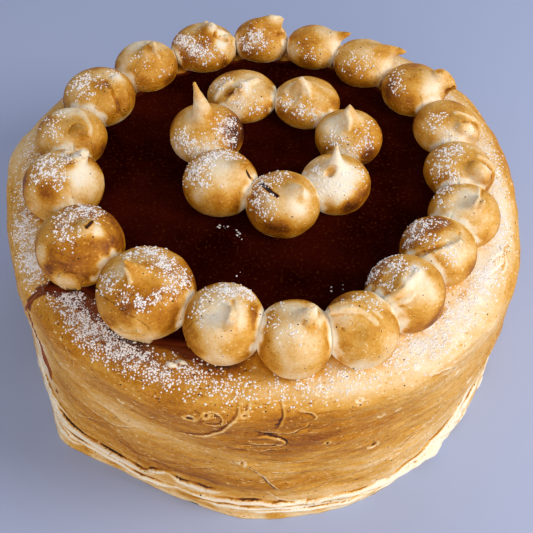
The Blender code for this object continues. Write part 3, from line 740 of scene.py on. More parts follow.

# A place on a dollop is seen from its heart: a heading, and a tilt up from level. A stroke has its kind, its
# breadth at both ends and the places that it passes. Torch marks are a place, a spread and a tone, from white
# at 0 to near black at 1; some pale ones are painted highlights on lit faces, and some brown ones painted
# shade under the tails. Sugar is a place, a spread and how thick it lies.
Dollop = namedtuple(
    "Dollop", "azimuth outside radius height tail_to reach tip_height root strokes torched sugared"
)
Ring = namedtuple("Ring", "name radius centre dollops")
OUTER_DOLLOPS = (
    Dollop(
        111, 3, 15.5, 13, -25, 5.5, 16, 0.55,
        strokes=(
            (RIDGE, 1.8, 1.1, ((85, 40), (-30, 75), (15, 45), (10, 22))),
            (CREASE, 1.2, 0.9, ((-25, 55), (-20, 40), (-15, 28))),
            (LOBE, 2.2, 1.6, ((-5, 25), (5, 15))),
        ),
        torched=(
            (-150, 40, 5, 0.48), (-85, 50, 4, 0.6), (-25, 65, 2, 0.1), (5, 40, 2, 0.08),
            (-30, 30, 2.5, 0.08), (-85, 10, 5, 0.5), (160, 60, 3, 0.35), (-25, 10, 3, 0.35),
        ),
        sugared=((-110, 32, 6, 0.9), (-150, 32, 6, 0.9), (-85, 22, 5, 0.8), (-50, 22, 4, 0.6)),
    ),
    Dollop(
        92.5, 3.5, 13, 13.5, -5, 10, 15.5, 0.7,
        strokes=(
            (LOBE, 3.5, 2.5, ((-150, 70), (-60, 84), (-5, 66))),
            (RIDGE, 1.6, 1.0, ((-120, 66), (-40, 78), (0, 58), (12, 40), (5, 28))),
            (CREASE, 1.0, 0.8, ((20, 48), (12, 30), (-8, 30), (-30, 36))),
        ),
        torched=(
            (-165, 55, 5, 0.56), (-150, 30, 3, 0.52), (-50, 55, 4, 0.54), (-75, 10, 4, 0.46),
            (-50, 10, 3, 0.32), (-5, 65, 2.5, 0.2), (5, 40, 1.5, 0.2),
        ),
        sugared=((-110, 38, 6, 0.9), (-130, 22, 5, 0.9), (-85, 28, 4, 0.8), (-120, 5, 4, 0.6)),
    ),
    Dollop(
        75.5, 2, 13, 13.5, -5, 16.5, 12, 0.5,
        strokes=(),
        torched=(
            (-145, 50, 4, 0.56), (-100, 50, 4, 0.5), (-100, 10, 5, 0.55), (-65, 20, 4, 0.36),
            (-25, 15, 3.5, 0.06), (10, 55, 4, 0.3), (-12, 27, 2.5, 0.56), (-140, 15, 3, 0.3),
        ),
        sugared=((-100, 22, 4, 0.4), (-125, 30, 4, 0.35)),
    ),
    Dollop(
        58, 1, 14, 13.5, -5, 18, 11, 0.5,
        strokes=(),
        torched=(
            (-25, 42, 3, 0.52), (80, 60, 4, 0.4), (-160, 35, 4, 0.42), (-22, 18, 4, 0.16),
            (-100, 5, 5, 0.5), (-70, 20, 4, 0.28), (-10, 30, 2, 0.5),
        ),
        sugared=((-100, 30, 5, 0.5), (-135, 35, 5, 0.45), (-75, 45, 4, 0.4)),
    ),
    Dollop(
        38.5, 1.5, 14.5, 14.5, -10, 18, 8, 0.55,
        strokes=(
            (LOBE, 3.0, 2.0, ((-10, 45), (2, 36), (-2, 22), (-10, 8))),
            (CREASE, 1.3, 1.3, ((-14, 16), (-16, 12))),
        ),
        torched=(
            (105, 50, 5, 0.54), (-170, 40, 4, 0.58), (-110, 60, 5, 0.52), (-50, 35, 5, 0.14),
            (-160, 15, 3, 0.62), (-110, 10, 5, 0.58), (-20, 20, 3, 0.46), (-5, 45, 4, 0.44),
            (-75, 20, 4, 0.34),
        ),
        sugared=((-160, 35, 4, 0.6), (-140, 30, 4, 0.5), (175, 45, 4, 0.45)),
    ),
    Dollop(
        19.5, 0, 14.5, 14.5, -50, 10.5, 14, 0.5,
        strokes=(
            (RIDGE, 1.2, 0.9, ((-30, 75), (-8, 45), (-5, 22), (-18, 2))),
            (CREASE, 0.9, 0.7, ((-60, 52), (-25, 42), (-14, 24), (-20, 5))),
            (LOBE, 3.0, 2.4, ((-60, 40), (-48, 30), (-40, 18))),
        ),
        torched=(
            (-100, 75, 5, 0.5), (-150, 20, 4, 0.45), (-50, 32, 2.2, 0.1), (-68, 38, 2, 0.36),
            (-95, 22, 5, 0.2), (-15, 5, 2, 0.45), (-125, 12, 4, 0.4), (-40, 8, 3, 0.35),
        ),
        sugared=((-155, 55, 5, 0.5), (-145, 35, 4, 0.55), (-95, 20, 5, 0.65)),
    ),
    Dollop(
        1, -2.5, 14.5, 15, -45, 14, 13, 0.5,
        strokes=(
            (RIDGE, 1.3, 1.0, ((-5, 55), (-3, 32), (-9, 12), (-22, 0))),
            (CREASE, 0.9, 0.7, ((-18, 45), (-14, 30), (-20, 18), (-34, 8))),
            (LOBE, 3.2, 2.4, ((-58, 46), (-55, 34), (-45, 20))),
        ),
        torched=(
            (170, 30, 4, 0.5), (-145, 50, 4, 0.45), (-56, 40, 2.5, 0.3), (-38, 38, 1.8, 0.1),
            (-60, 60, 3, 0.46), (-45, 8, 3, 0.45), (-140, 15, 3, 0.5), (-90, 45, 3, 0.38),
        ),
        sugared=((175, 50, 6, 0.75), (-150, 32, 5, 0.7), (140, 70, 5, 0.7), (-115, 28, 4, 0.7)),
    ),
    Dollop(
        -16, 0, 14.5, 15, -50, 6.5, 17, 0.55,
        strokes=(
            (CREASE, 0.8, 0.5, ((50, 35), (20, 60), (-65, 66), (-70, 54))),
            (RIDGE, 1.0, 0.7, ((55, 34), (5, 72), (-78, 66))),
            (DISH, 9, 9, ((-165, 72),)),
        ),
        torched=(
            (160, 30, 4, 0.5), (-130, 76, 5, 0.14), (-130, 55, 3, 0.25), (-15, 40, 4, 0.42),
            (-60, 20, 5, 0.42), (-110, 45, 4, 0.42), (175, 15, 3, 0.45), (-80, 38, 4, 0.4),
        ),
        sugared=((140, 28, 5, 0.65), (175, 40, 4, 0.6), (155, 60, 3, 0.4)),
    ),
    Dollop(
        -32, -3.5, 15, 16.5, -40, 9, 16, 0.6,
        strokes=(
            (CREASE, 1.2, 0.8, ((-145, 20), (-135, 35), (-125, 45), (-100, 60), (-60, 66), (10, 55))),
            (RIDGE, 1.3, 0.9, ((-135, 28), (-120, 38), (-85, 53), (-45, 58))),
            (RIDGE, 0.8, 0.6, ((45, 30), (25, 28), (5, 22))),
            (DISH, 7, 7, ((-45, 78),)),
        ),
        torched=(
            (120, 60, 5, 0.66), (165, 40, 4, 0.6), (-175, 25, 3.5, 0.6), (-45, 78, 3, 0.36),
            (-115, 25, 4, 0.52), (-60, 38, 4, 0.22), (-25, 30, 4, 0.42), (-75, 5, 5, 0.42),
            (55, 30, 3, 0.35),
        ),
        sugared=(
            (155, 40, 6, 0.9), (-175, 32, 4, 0.9), (-150, 58, 4, 0.6), (-80, 47, 5, 0.5), (95, 60, 4, 0.5),
        ),
    ),
    Dollop(
        -50, -0.5, 15, 18.5, -130, 10, 15, 0.55,
        strokes=(
            (RIDGE, 1.8, 1.2, ((15, 75), (-90, 72), (-115, 55), (-125, 40), (-135, 30))),
            (CREASE, 0.9, 0.8, ((-120, 60), (-132, 46), (-142, 36), (-142, 26))),
            (RIDGE, 1.0, 0.7, ((-118, 33), (-105, 38), (-90, 43), (-82, 50))),
            (CREASE, 0.6, 0.5, ((-118, 28), (-102, 33), (-88, 40), (-76, 50))),
            (DISH, 7, 7, ((-158, 56),)),
        ),
        torched=(
            (135, 20, 4, 0.6), (165, 25, 3.5, 0.65), (-138, 55, 2.5, 0.55), (180, 75, 3, 0.5),
            (-105, 70, 2, 0.02), (-15, 80, 2.4, 0.02), (-45, 55, 4, 0.24), (5, 40, 3, 0.46),
            (-20, 28, 3, 0.44), (-100, 18, 4, 0.5), (-70, 22, 4, 0.4), (-125, 33, 1.5, 0.6),
            (-98, 42, 1.6, 0.24),
        ),
        sugared=(
            (130, 25, 5, 0.85), (165, 28, 5, 0.75), (150, 60, 6, 0.8), (-155, 42, 4, 0.7), (60, 80, 5, 0.7),
        ),
    ),
    Dollop(
        -65.5, 4, 14, 17.5, 175, 11.5, 15, 0.55,
        strokes=(
            (RIDGE, 1.5, 0.9, ((170, 20), (-175, 45), (-172, 62), (-160, 78), (-65, 75), (-50, 58))),
            (RIDGE, 0.6, 0.5, ((-10, 72), (-20, 58))),
            (CREASE, 0.8, 0.5, ((-178, 34), (-165, 50), (-148, 66))),
            (CREASE, 0.9, 0.9, ((-140, 40), (-137, 40))),
            (DISH, 9, 9, ((-110, 46),)),
        ),
        torched=(
            (130, 30, 4, 0.6), (100, 40, 4, 0.5), (45, 55, 3, 0.38), (-150, 56, 3.5, 0.2),
            (-90, 45, 6, 0.48), (-120, 33, 5, 0.5), (-45, 42, 4, 0.42), (-95, 14, 5, 0.34),
            (-85, -12, 4, 0.12), (-140, 20, 2.4, 0.1), (-45, 12, 4, 0.28),
        ),
        sugared=((145, 65, 4, 0.5), (95, 65, 4, 0.6), (45, 70, 4, 0.5)),
    ),
    Dollop(
        -81.5, 2, 14, 18, 15, 6.5, 20, 0.5,
        strokes=(
            (CREASE, 0.8, 0.5, ((45, 50), (5, 76), (-50, 74))),
            (RIDGE, 1.4, 0.9, ((55, 44), (38, 36), (20, 38), (0, 52), (-14, 52))),
            (CREASE, 1.0, 1.0, ((-16, 56), (-18, 53))),
            (LOBE, 2.6, 1.6, ((0, 72), (-22, 68))),
        ),
        torched=(
            (90, 30, 3, 0.6), (180, 45, 4, 0.52), (-100, 70, 6, 0.2), (115, 65, 4, 0.24),
            (-35, 65, 2.3, 0.54), (8, 65, 2.2, 0.1), (-8, 38, 3, 0.46), (-20, 22, 2.5, 0.56),
            (-90, 35, 7, 0.3), (-145, 20, 4, 0.54), (-85, -2, 5, 0.26), (-45, 12, 4, 0.46),
            (-120, 8, 4, 0.46),
        ),
        sugared=((130, 40, 4, 0.4), (180, 55, 5, 0.42), (-120, 60, 5, 0.3)),
    ),
    Dollop(
        -99, -3, 15, 19.5, -65, 9, 22, 0.55,
        strokes=(
            (CREASE, 0.9, 0.6, ((10, 76), (-55, 66), (-58, 52), (-64, 40))),
            (DISH, 6, 6, ((-118, 66),)),
            (LOBE, 2.6, 1.4, ((-72, 66), (-72, 56), (-78, 48))),
        ),
        torched=(
            (-170, 35, 4, 0.58), (-108, 64, 6, 0.12), (-76, 50, 2, 0.54), (80, 60, 4, 0.38),
            (-35, 55, 3, 0.24), (-15, 35, 3, 0.62), (-90, 25, 6, 0.36), (-135, 10, 4, 0.56),
            (-60, 12, 5, 0.48), (-95, -4, 5, 0.24), (170, 60, 3, 0.42),
        ),
        sugared=(
            (75, 60, 6, 0.95), (40, 45, 5, 0.9), (130, 58, 4, 0.8), (175, 55, 5, 0.6), (-145, 50, 4, 0.5),
        ),
    ),
    Dollop(
        -122, -4.5, 18.5, 20, -155, 5.5, 27, 0.6,
        strokes=(
            (RIDGE, 1.2, 0.8, ((140, 52), (-150, 72), (-125, 63))),
            (CREASE, 0.7, 0.5, ((-140, 2), (-115, -2), (-95, 2))),
        ),
        torched=(
            (-85, 70, 5, 0.52), (-20, 78, 3, 0.5), (-175, 58, 2, 0.24), (-100, 46, 5, 0.66),
            (10, 35, 4, 0.56), (-10, 15, 4, 0.62), (-60, 15, 6, 0.56), (-80, -2, 5, 0.24),
            (-130, 14, 4, 0.5), (-160, 30, 4, 0.5), (-112, -2, 3.4, 0.26), (-60, 50, 3, 0.62),
        ),
        sugared=(
            (80, 50, 6, 0.95), (35, 55, 6, 1.0), (0, 40, 6, 0.95), (-28, 40, 4, 0.8), (-165, 38, 5, 0.85),
            (-118, 42, 4, 0.7), (-90, 40, 4, 0.75), (-60, 42, 4, 0.6), (115, 50, 4, 0.8),
        ),
    ),
    Dollop(
        -147, -0.5, 17, 19, -20, 8, 21.5, 0.5,
        strokes=(
            (CRACK, 0.7, 0.5, ((-38, 66), (-24, 64))),
            (CREASE, 0.5, 0.35, ((-130, 36), (-100, 34), (-80, 30), (-62, 30))),
            (CREASE, 0.5, 0.35, ((-108, 24), (-86, 21), (-62, 20))),
            (CREASE, 0.4, 0.3, ((-100, 13), (-80, 11), (-64, 11))),
        ),
        torched=(
            (45, 20, 4, 0.66), (10, 20, 3, 0.64), (-20, 15, 4, 0.62), (-45, 66, 2.4, 0.34),
            (-15, 50, 2.2, 0.06), (-75, 40, 4, 0.62), (-110, 40, 4, 0.6), (-85, 33, 2, 0.74),
            (-85, 18, 4, 0.66), (-170, 40, 4, 0.5), (-145, 20, 2.5, 0.24), (-100, -2, 3.4, 0.22),
            (-65, 5, 4, 0.54), (60, 55, 4, 0.6), (170, 80, 4, 0.54), (0, 40, 3, 0.56), (-40, 40, 3, 0.6),
        ),
        sugared=(
            (70, 48, 6, 0.9), (120, 65, 6, 0.85), (-170, 70, 5, 0.8), (-112, 63, 5, 0.8), (30, 64, 4, 0.7),
        ),
    ),
    Dollop(
        -170.5, -1, 16.5, 17.5, 20, 12, 19, 0.5,
        strokes=(
            (RIDGE, 1.9, 1.2, ((80, 45), (60, 40), (18, 56))),
            (CREASE, 0.8, 0.6, ((5, 76), (0, 62), (10, 50))),
        ),
        torched=(
            (22, 58, 3, 0.03), (-150, 70, 4, 0.5), (-100, 35, 4, 0.64), (0, 65, 1.8, 0.52),
            (-20, 40, 4, 0.04), (0, 18, 4, 0.34), (-25, 18, 4, 0.26), (-130, 10, 4, 0.38),
            (-105, 5, 4, 0.42), (-70, 18, 4, 0.26), (-80, 45, 3, 0.5),
        ),
        sugared=(
            (170, 65, 6, 0.95), (-120, 68, 5, 0.95), (-78, 55, 4, 0.85), (60, 72, 5, 0.8),
            (-150, 48, 5, 0.75),
        ),
    ),
    Dollop(
        170, 0.5, 15, 16, -45, 13, 17, 0.5,
        strokes=(
            (RIDGE, 1.4, 0.9, ((55, 52), (15, 52), (-14, 40), (-30, 34))),
            (CREASE, 1.1, 1.1, ((-34, 35), (-37, 33))),
            (CREASE, 0.7, 0.6, ((-80, 52), (-66, 64), (-35, 66), (-38, 50))),
        ),
        torched=(
            (-45, 65, 4, 0.46), (5, 30, 4, 0.46), (-135, 35, 4, 0.4), (105, 50, 4, 0.2), (-40, 25, 4, 0.5),
            (-90, 25, 4, 0.32), (-66, 58, 1.6, 0.54), (-5, 15, 3, 0.5),
        ),
        sugared=((175, 50, 5, 0.5), (-135, 48, 5, 0.5), (140, 60, 4, 0.4)),
    ),
    Dollop(
        151, 2, 16, 16, -45, 12, 15.5, 0.6,
        strokes=(
            (CREASE, 1.2, 0.9, ((-38, 64), (-50, 46), (-42, 30), (-46, 18), (-50, 5))),
            (LOBE, 3.2, 2.4, ((0, 45), (-15, 32), (-28, 18), (-38, 5))),
        ),
        torched=(
            (-130, 15, 4, 0.42), (-70, 25, 4, 0.46), (-65, 60, 3, 0.56), (-10, 25, 3, 0.5),
            (10, 45, 2.5, 0.1), (-35, 8, 3, 0.5), (-95, 12, 3, 0.28), (-115, 40, 4, 0.42),
            (-150, 25, 3, 0.35),
        ),
        sugared=(
            (-155, 50, 6, 0.8), (175, 72, 5, 0.75), (-120, 42, 5, 0.65), (-50, 62, 4, 0.5),
            (35, 45, 4, 0.5),
        ),
    ),
    Dollop(
        131, 2.5, 14.5, 14, -45, 7, 18.5, 0.5,
        strokes=((RIDGE, 1.4, 1.0, ((85, 52), (-48, 68), (-30, 46))), (DISH, 4.5, 4.5, ((-72, 62),))),
        torched=(
            (-75, 62, 2.5, 0.4), (-64, 68, 1.5, 0.6), (-150, 35, 4, 0.36), (-75, 20, 6, 0.52),
            (-20, 30, 4, 0.48), (135, 55, 4, 0.2), (-100, 40, 4, 0.42),
        ),
        sugared=((-110, 50, 4, 0.4), (-45, 10, 4, 0.4), (-85, 45, 3, 0.3)),
    ),
)
INNER_DOLLOPS = (
    Dollop(
        164.5, -2, 16, 16, -170, 4, 33, 0.5,
        strokes=(),
        torched=(
            (-125, 74, 4, 0.2), (-50, 66, 4, 0.52), (-145, 20, 4, 0.4), (-140, -5, 4, 0.2),
            (-25, 25, 4, 0.76), (0, 25, 3, 0.7), (-90, 18, 5, 0.26), (-55, 20, 3, 0.5), (-90, 42, 4, 0.4),
        ),
        sugared=(
            (-135, 20, 5, 0.8), (-112, 20, 5, 0.8), (-90, 28, 4, 0.6), (-40, 40, 5, 0.9), (-12, 42, 5, 0.9),
            (-40, 18, 4, 0.7), (-65, 26, 4, 0.6),
        ),
    ),
    Dollop(
        113.5, 6, 16, 11, -95, 8.5, 12.5, 0.35,
        strokes=(
            (RIDGE, 2.0, 1.4, ((30, 42), (-30, 76), (-110, 46), (-125, 26))),
            (CREASE, 1.2, 0.9, ((-100, 60), (-128, 42), (-128, 26))),
            (RIDGE, 1.7, 1.2, ((170, 46), (-160, 27), (-150, 15))),
        ),
        torched=(
            (-130, 40, 2, 0.64), (-65, 84, 3, 0.12), (-15, 30, 4, 0.4), (40, 45, 4, 0.34),
            (-60, 12, 3, 0.5), (-175, 20, 4, 0.34), (-80, 38, 3, 0.28), (-95, 22, 3, 0.28),
        ),
        sugared=(
            (165, 35, 5, 0.5), (-75, 55, 5, 0.7), (-95, 30, 4, 0.65), (-60, 18, 4, 0.5),
            (-165, 30, 4, 0.45),
        ),
    ),
    Dollop(
        67.5, 2, 15, 12, -165, 4.5, 16, 0.55,
        strokes=(
            (RIDGE, 1.5, 1.0, ((-180, 32), (150, 40), (130, 55), (-140, 78), (-90, 70), (-80, 50))),
            (DISH, 6, 6, ((-145, 46),)),
        ),
        torched=(
            (-165, 35, 4, 0.42), (-135, 70, 3, 0.34), (-105, 70, 1.6, 0.06), (0, 40, 4, 0.42),
            (-30, 12, 3, 0.52), (-90, 12, 4, 0.46), (-140, 40, 3, 0.3),
        ),
        sugared=((-110, 25, 5, 0.65), (-145, 25, 5, 0.65), (-82, 22, 4, 0.55)),
    ),
    Dollop(
        16.5, -0.5, 14.5, 14.5, 110, 2.5, 18.5, 0.6,
        strokes=((RIDGE, 1.3, 0.9, ((170, 82), (-110, 80), (-100, 60))), (DISH, 7, 7, ((-158, 56),))),
        torched=(
            (-160, 55, 4, 0.14), (-75, 50, 4, 0.46), (-20, 30, 3.5, 0.5), (-60, 0, 4, 0.66),
            (-155, 30, 3, 0.34), (-180, 80, 2, 0.3), (-90, 18, 4, 0.34),
        ),
        sugared=(
            (-125, 30, 5, 0.65), (-90, 22, 5, 0.6), (-55, 30, 5, 0.6), (-5, 45, 4, 0.5), (-155, 42, 3, 0.5),
        ),
    ),
    Dollop(
        -37, -2, 14.5, 14.5, 120, 2, 24, 0.5,
        strokes=((CREASE, 2.0, 1.6, ((-136, 64), (-130, 74))),),
        torched=(
            (-90, 45, 7, 0.04), (-135, 70, 1.8, 0.6), (-70, 2, 3, 0.8), (-105, 2, 3, 0.56),
            (-35, 18, 3.5, 0.62), (145, 20, 3, 0.3), (-30, 84, 4, 0.03), (-60, 8, 3, 0.7),
            (-125, 20, 4, 0.18),
        ),
        sugared=(
            (180, 40, 5, 0.6), (-130, 35, 5, 0.5), (-85, 33, 5, 0.4), (-45, 50, 5, 0.5), (0, 40, 5, 0.5),
        ),
    ),
    Dollop(
        -84, -1.5, 15, 16.5, -35, 8.5, 18.5, 0.55,
        strokes=((CRACK, 0.5, 0.4, ((160, 40), (-175, 55), (-142, 60), (-115, 60))),),
        torched=(
            (-25, 48, 2.2, 0.08), (-42, 46, 1.6, 0.52), (-60, 34, 4, 0.06), (-30, 18, 4, 0.4),
            (-175, 25, 3, 0.6), (-95, 4, 5, 0.64), (-140, 5, 4, 0.6), (75, 65, 4, 0.5), (-100, 40, 4, 0.32),
            (-65, 10, 4, 0.5),
        ),
        sugared=(
            (150, 45, 6, 0.8), (110, 55, 5, 0.65), (-170, 40, 4, 0.7), (-140, 36, 5, 0.85),
            (-120, 30, 4, 0.8),
        ),
    ),
    Dollop(
        -137.5, -2.5, 15.5, 17, -10, 11.5, 18, 0.5,
        strokes=((CRACK, 0.55, 0.4, ((-8, 38), (-16, 27), (-12, 20), (-18, 12))),),
        torched=(
            (-15, 50, 2, 0.52), (-90, 75, 4, 0.16), (-150, 25, 4, 0.45), (-90, 15, 5, 0.48),
            (-40, 15, 4, 0.5), (-120, 20, 3, 0.24), (-5, 20, 2.5, 0.4), (-130, 45, 4, 0.4),
            (-55, 45, 4, 0.35),
        ),
        sugared=(
            (155, 60, 6, 0.95), (100, 60, 6, 0.95), (60, 55, 5, 0.9), (-165, 42, 6, 1.0),
            (-130, 42, 4.5, 0.8),
        ),
    ),
)
RINGS = (Ring("outer", 83.5, (-1.0, 3.5), OUTER_DOLLOPS), Ring("inner", 33.0, (3.5, 14.5), INNER_DOLLOPS))


def dollop_middle(ring, dollop):
    return way_to(dollop.azimuth, 0) * (ring.radius + dollop.outside) + [*ring.centre, TOP_HEIGHT]


def tail_stroke(dollop):
    """The tail's spine from inside the dome to the tip, seen from the dollop's middle, and its breadths."""
    way, rise = way_to(dollop.tail_to, 0), np.array([0, 0, 1.0])
    tall = dollop.tip_height >= TALL_TAIL
    tip_height = dollop.tip_height + (TALL_PULLED_UP if tall else PULLED_UP)
    arch = max(dollop.height, tip_height) * (LYING_ARCH if tip_height < dollop.height else STANDING_ARCH)
    start = rise * TAIL_START * dollop.height
    bend = way * TAIL_START * dollop.reach + rise * arch
    tip = way * dollop.reach + rise * tip_height
    t = np.linspace(0, 1, 48)[:, None]
    points = (1 - t) ** 2 * start + 2 * t * (1 - t) * bend + t**2 * tip
    narrowing = (1 - t[:, 0]) ** (TALL_TAPER if tall else TAIL_TAPER)
    return points, TAIL_TIP_RADIUS + (dollop.root * dollop.radius - TAIL_TIP_RADIUS) * narrowing


def skin_places(dollop, ways):
    """Where rays from the dollop's heart meet its skin, before the strokes are laid on."""
    heart = np.array([0, 0, WIDEST * dollop.height])
    out = np.arange(*SKIN_SEARCH)
    points = heart + ways[:, None, :] * out[None, :, None]
    crown = dollop.height * (1 - WIDEST)
    belly = heart[2] / math.sqrt(1 - FOOT_SHARE**2)
    above = (points[..., 2] - heart[2]) / np.where(points[..., 2] > heart[2], crown, belly)
    beside = np.hypot(points[..., 0], points[..., 1]) / dollop.radius
    depth = 1 - (beside**BESIDE_POWER + np.abs(above) ** ABOVE_POWER) ** (1 / ROUND_POWER)
    dome = depth * dollop.radius * DOME_DEPTH
    spine, breadths = tail_stroke(dollop)
    gaps = np.linalg.norm(points[..., None, :] - spine, axis=-1)
    nearest = gaps.argmin(-1)
    tail = breadths[nearest] - np.take_along_axis(gaps, nearest[..., None], -1)[..., 0]
    overlap = np.maximum(TAIL_BLEND - np.abs(dome - tail), 0) / TAIL_BLEND
    depth = np.maximum(dome, tail) + overlap**3 * TAIL_BLEND / 6
    last_inside = len(out) - 1 - (depth[:, ::-1] > 0).argmax(1)
    return heart + ways * (out[last_inside] + 0.12)[:, None]


def laid_stroke(dollop, stroke):
    """A stroke's kind, its spine over the dollop's skin, sunk or raised by its kind, and its breadths."""
    kind, first_breadth, last_breadth, path = stroke
    ways = np.array([way_to(*place) for place in path])
    if len(ways) > 1:
        ways = rounded(ways)
        along = np.append(0, np.cumsum(np.linalg.norm(np.diff(ways, axis=0), axis=1)))
        at = np.linspace(0, along[-1], max(4, int(along[-1] * 50)))
        ways = np.stack([np.interp(at, along, ways[:, axis]) for axis in range(3)], axis=1)
    ways /= np.linalg.norm(ways, axis=1, keepdims=True)
    breadths = np.linspace(first_breadth, last_breadth, len(ways))
    return kind, skin_places(dollop, ways) + ways * (PROUD_SHARE[kind] * breadths)[:, None], breadths


def dome_field(tree, place, middle, radius, height):
    """Depth inside a slumped dome: nought on its skin, in metres, more towards its middle."""
    away = add(tree, "ShaderNodeVectorMath", {0: place, 1: middle}, operation="SUBTRACT")
    level = add(tree, "ShaderNodeVectorMath", {0: away, 1: (1, 1, 0)}, operation="MULTIPLY")
    beside = add(tree, "ShaderNodeVectorMath", {0: level}, output=1, operation="LENGTH")
    beside = add(tree, "ShaderNodeMath", {0: beside, 1: radius}, operation="DIVIDE")
    lift = add(tree, "ShaderNodeSeparateXYZ", {0: away}, output=2)
    widest = add(tree, "ShaderNodeMath", {0: height, 1: WIDEST}, operation="MULTIPLY")
    above = add(tree, "ShaderNodeMath", {0: lift, 1: widest}, operation="SUBTRACT")
    crown = add(tree, "ShaderNodeMath", {0: height, 1: widest}, operation="SUBTRACT")
    under = 1 / math.sqrt(1 - FOOT_SHARE**2)
    belly = add(tree, "ShaderNodeMath", {0: widest, 1: under}, operation="MULTIPLY")
    upper = add(tree, "ShaderNodeMath", {0: above, 1: 0.0}, operation="GREATER_THAN")
    reach = add(tree, "ShaderNodeMix", {0: upper, 2: belly, 3: crown})
    above = add(tree, "ShaderNodeMath", {0: above, 1: reach}, operation="DIVIDE")
    above = add(tree, "ShaderNodeMath", {0: above}, operation="ABSOLUTE")
    beside = add(tree, "ShaderNodeMath", {0: beside, 1: BESIDE_POWER}, operation="POWER")
    above = add(tree, "ShaderNodeMath", {0: above, 1: ABOVE_POWER}, operation="POWER")
    total = add(tree, "ShaderNodeMath", {0: beside, 1: above}, operation="ADD")
    total = add(tree, "ShaderNodeMath", {0: total, 1: 1 / ROUND_POWER}, operation="POWER")
    inside = add(tree, "ShaderNodeMath", {0: 1.0, 1: total}, operation="SUBTRACT")
    inside = add(tree, "ShaderNodeMath", {0: inside, 1: radius}, operation="MULTIPLY")
    return add(tree, "ShaderNodeMath", {0: inside, 1: DOME_DEPTH}, operation="MULTIPLY")


def stroke_field(tree, strokes, place, kind):
    """Depth inside the strokes of one kind: each point of a stroke has its own breadth."""
    which = add(tree, "GeometryNodeInputNamedAttribute", {"Name": "kind"}, data_type="INT")
    chosen = add(tree, "FunctionNodeCompare", {2: which, 3: kind}, data_type="INT", operation="EQUAL")
    picked = add(tree, "GeometryNodeSeparateGeometry", {0: strokes, 1: chosen}, domain="POINT")
    nearest = add(tree, "GeometryNodeSampleNearest", {0: picked, 1: place}, domain="POINT")
    breadth = add(tree, "GeometryNodeInputNamedAttribute", {"Name": "breadth"}, data_type="FLOAT")
    spine = add(tree, "GeometryNodeInputPosition")
    breadth, spine = (
        add(tree, "GeometryNodeSampleIndex", {0: picked, 1: value, "Index": nearest}, data_type=kind_of_value)
        for value, kind_of_value in ((breadth, "FLOAT"), (spine, "FLOAT_VECTOR"))
    )
    distance = add(tree, "ShaderNodeVectorMath", {0: place, 1: spine}, output=1, operation="DISTANCE")
    return add(tree, "ShaderNodeMath", {0: breadth, 1: distance}, operation="SUBTRACT")


def new_tree(name, makes, sockets):
    """A tree with named inputs and one output, its inputs' identifiers, and what its nodes are given."""
    tree = bpy.data.node_groups.new(name, "GeometryNodeTree")
    identifiers = {}
    for kind, labels in sockets.items():
        for label in labels:
            made = tree.interface.new_socket(label, in_out="INPUT", socket_type="NodeSocket" + kind)
            identifiers[label] = made.identifier
    tree.interface.new_socket(makes, in_out="OUTPUT", socket_type="NodeSocketGeometry")
    return tree, identifiers, tree.nodes.new("NodeGroupInput").outputs


def hand_out(tree, shape, material):
    """Realizes what a tree has made, gives it its material and hands it out."""
    shape = add(tree, "GeometryNodeRealizeInstances", {"Geometry": shape})
    shape = add(tree, "GeometryNodeSetMaterial", {"Geometry": shape, "Material": material})
    add(tree, "NodeGroupOutput", {0: shape})


def run_tree(name, mesh, tree, identifiers, values):
    """Runs a tree on a mesh and keeps the result as a plain mesh."""
    obj = stand(name, mesh)
    modifier = obj.modifiers.new("made", "NODES")
    modifier.node_group = tree
    for label, value in values.items():
        modifier[identifiers[label]] = value
    shape = bpy.data.meshes.new_from_object(obj.evaluated_get(bpy.context.evaluated_depsgraph_get()))
    obj.modifiers.clear()
    obj.data = shape
    return obj


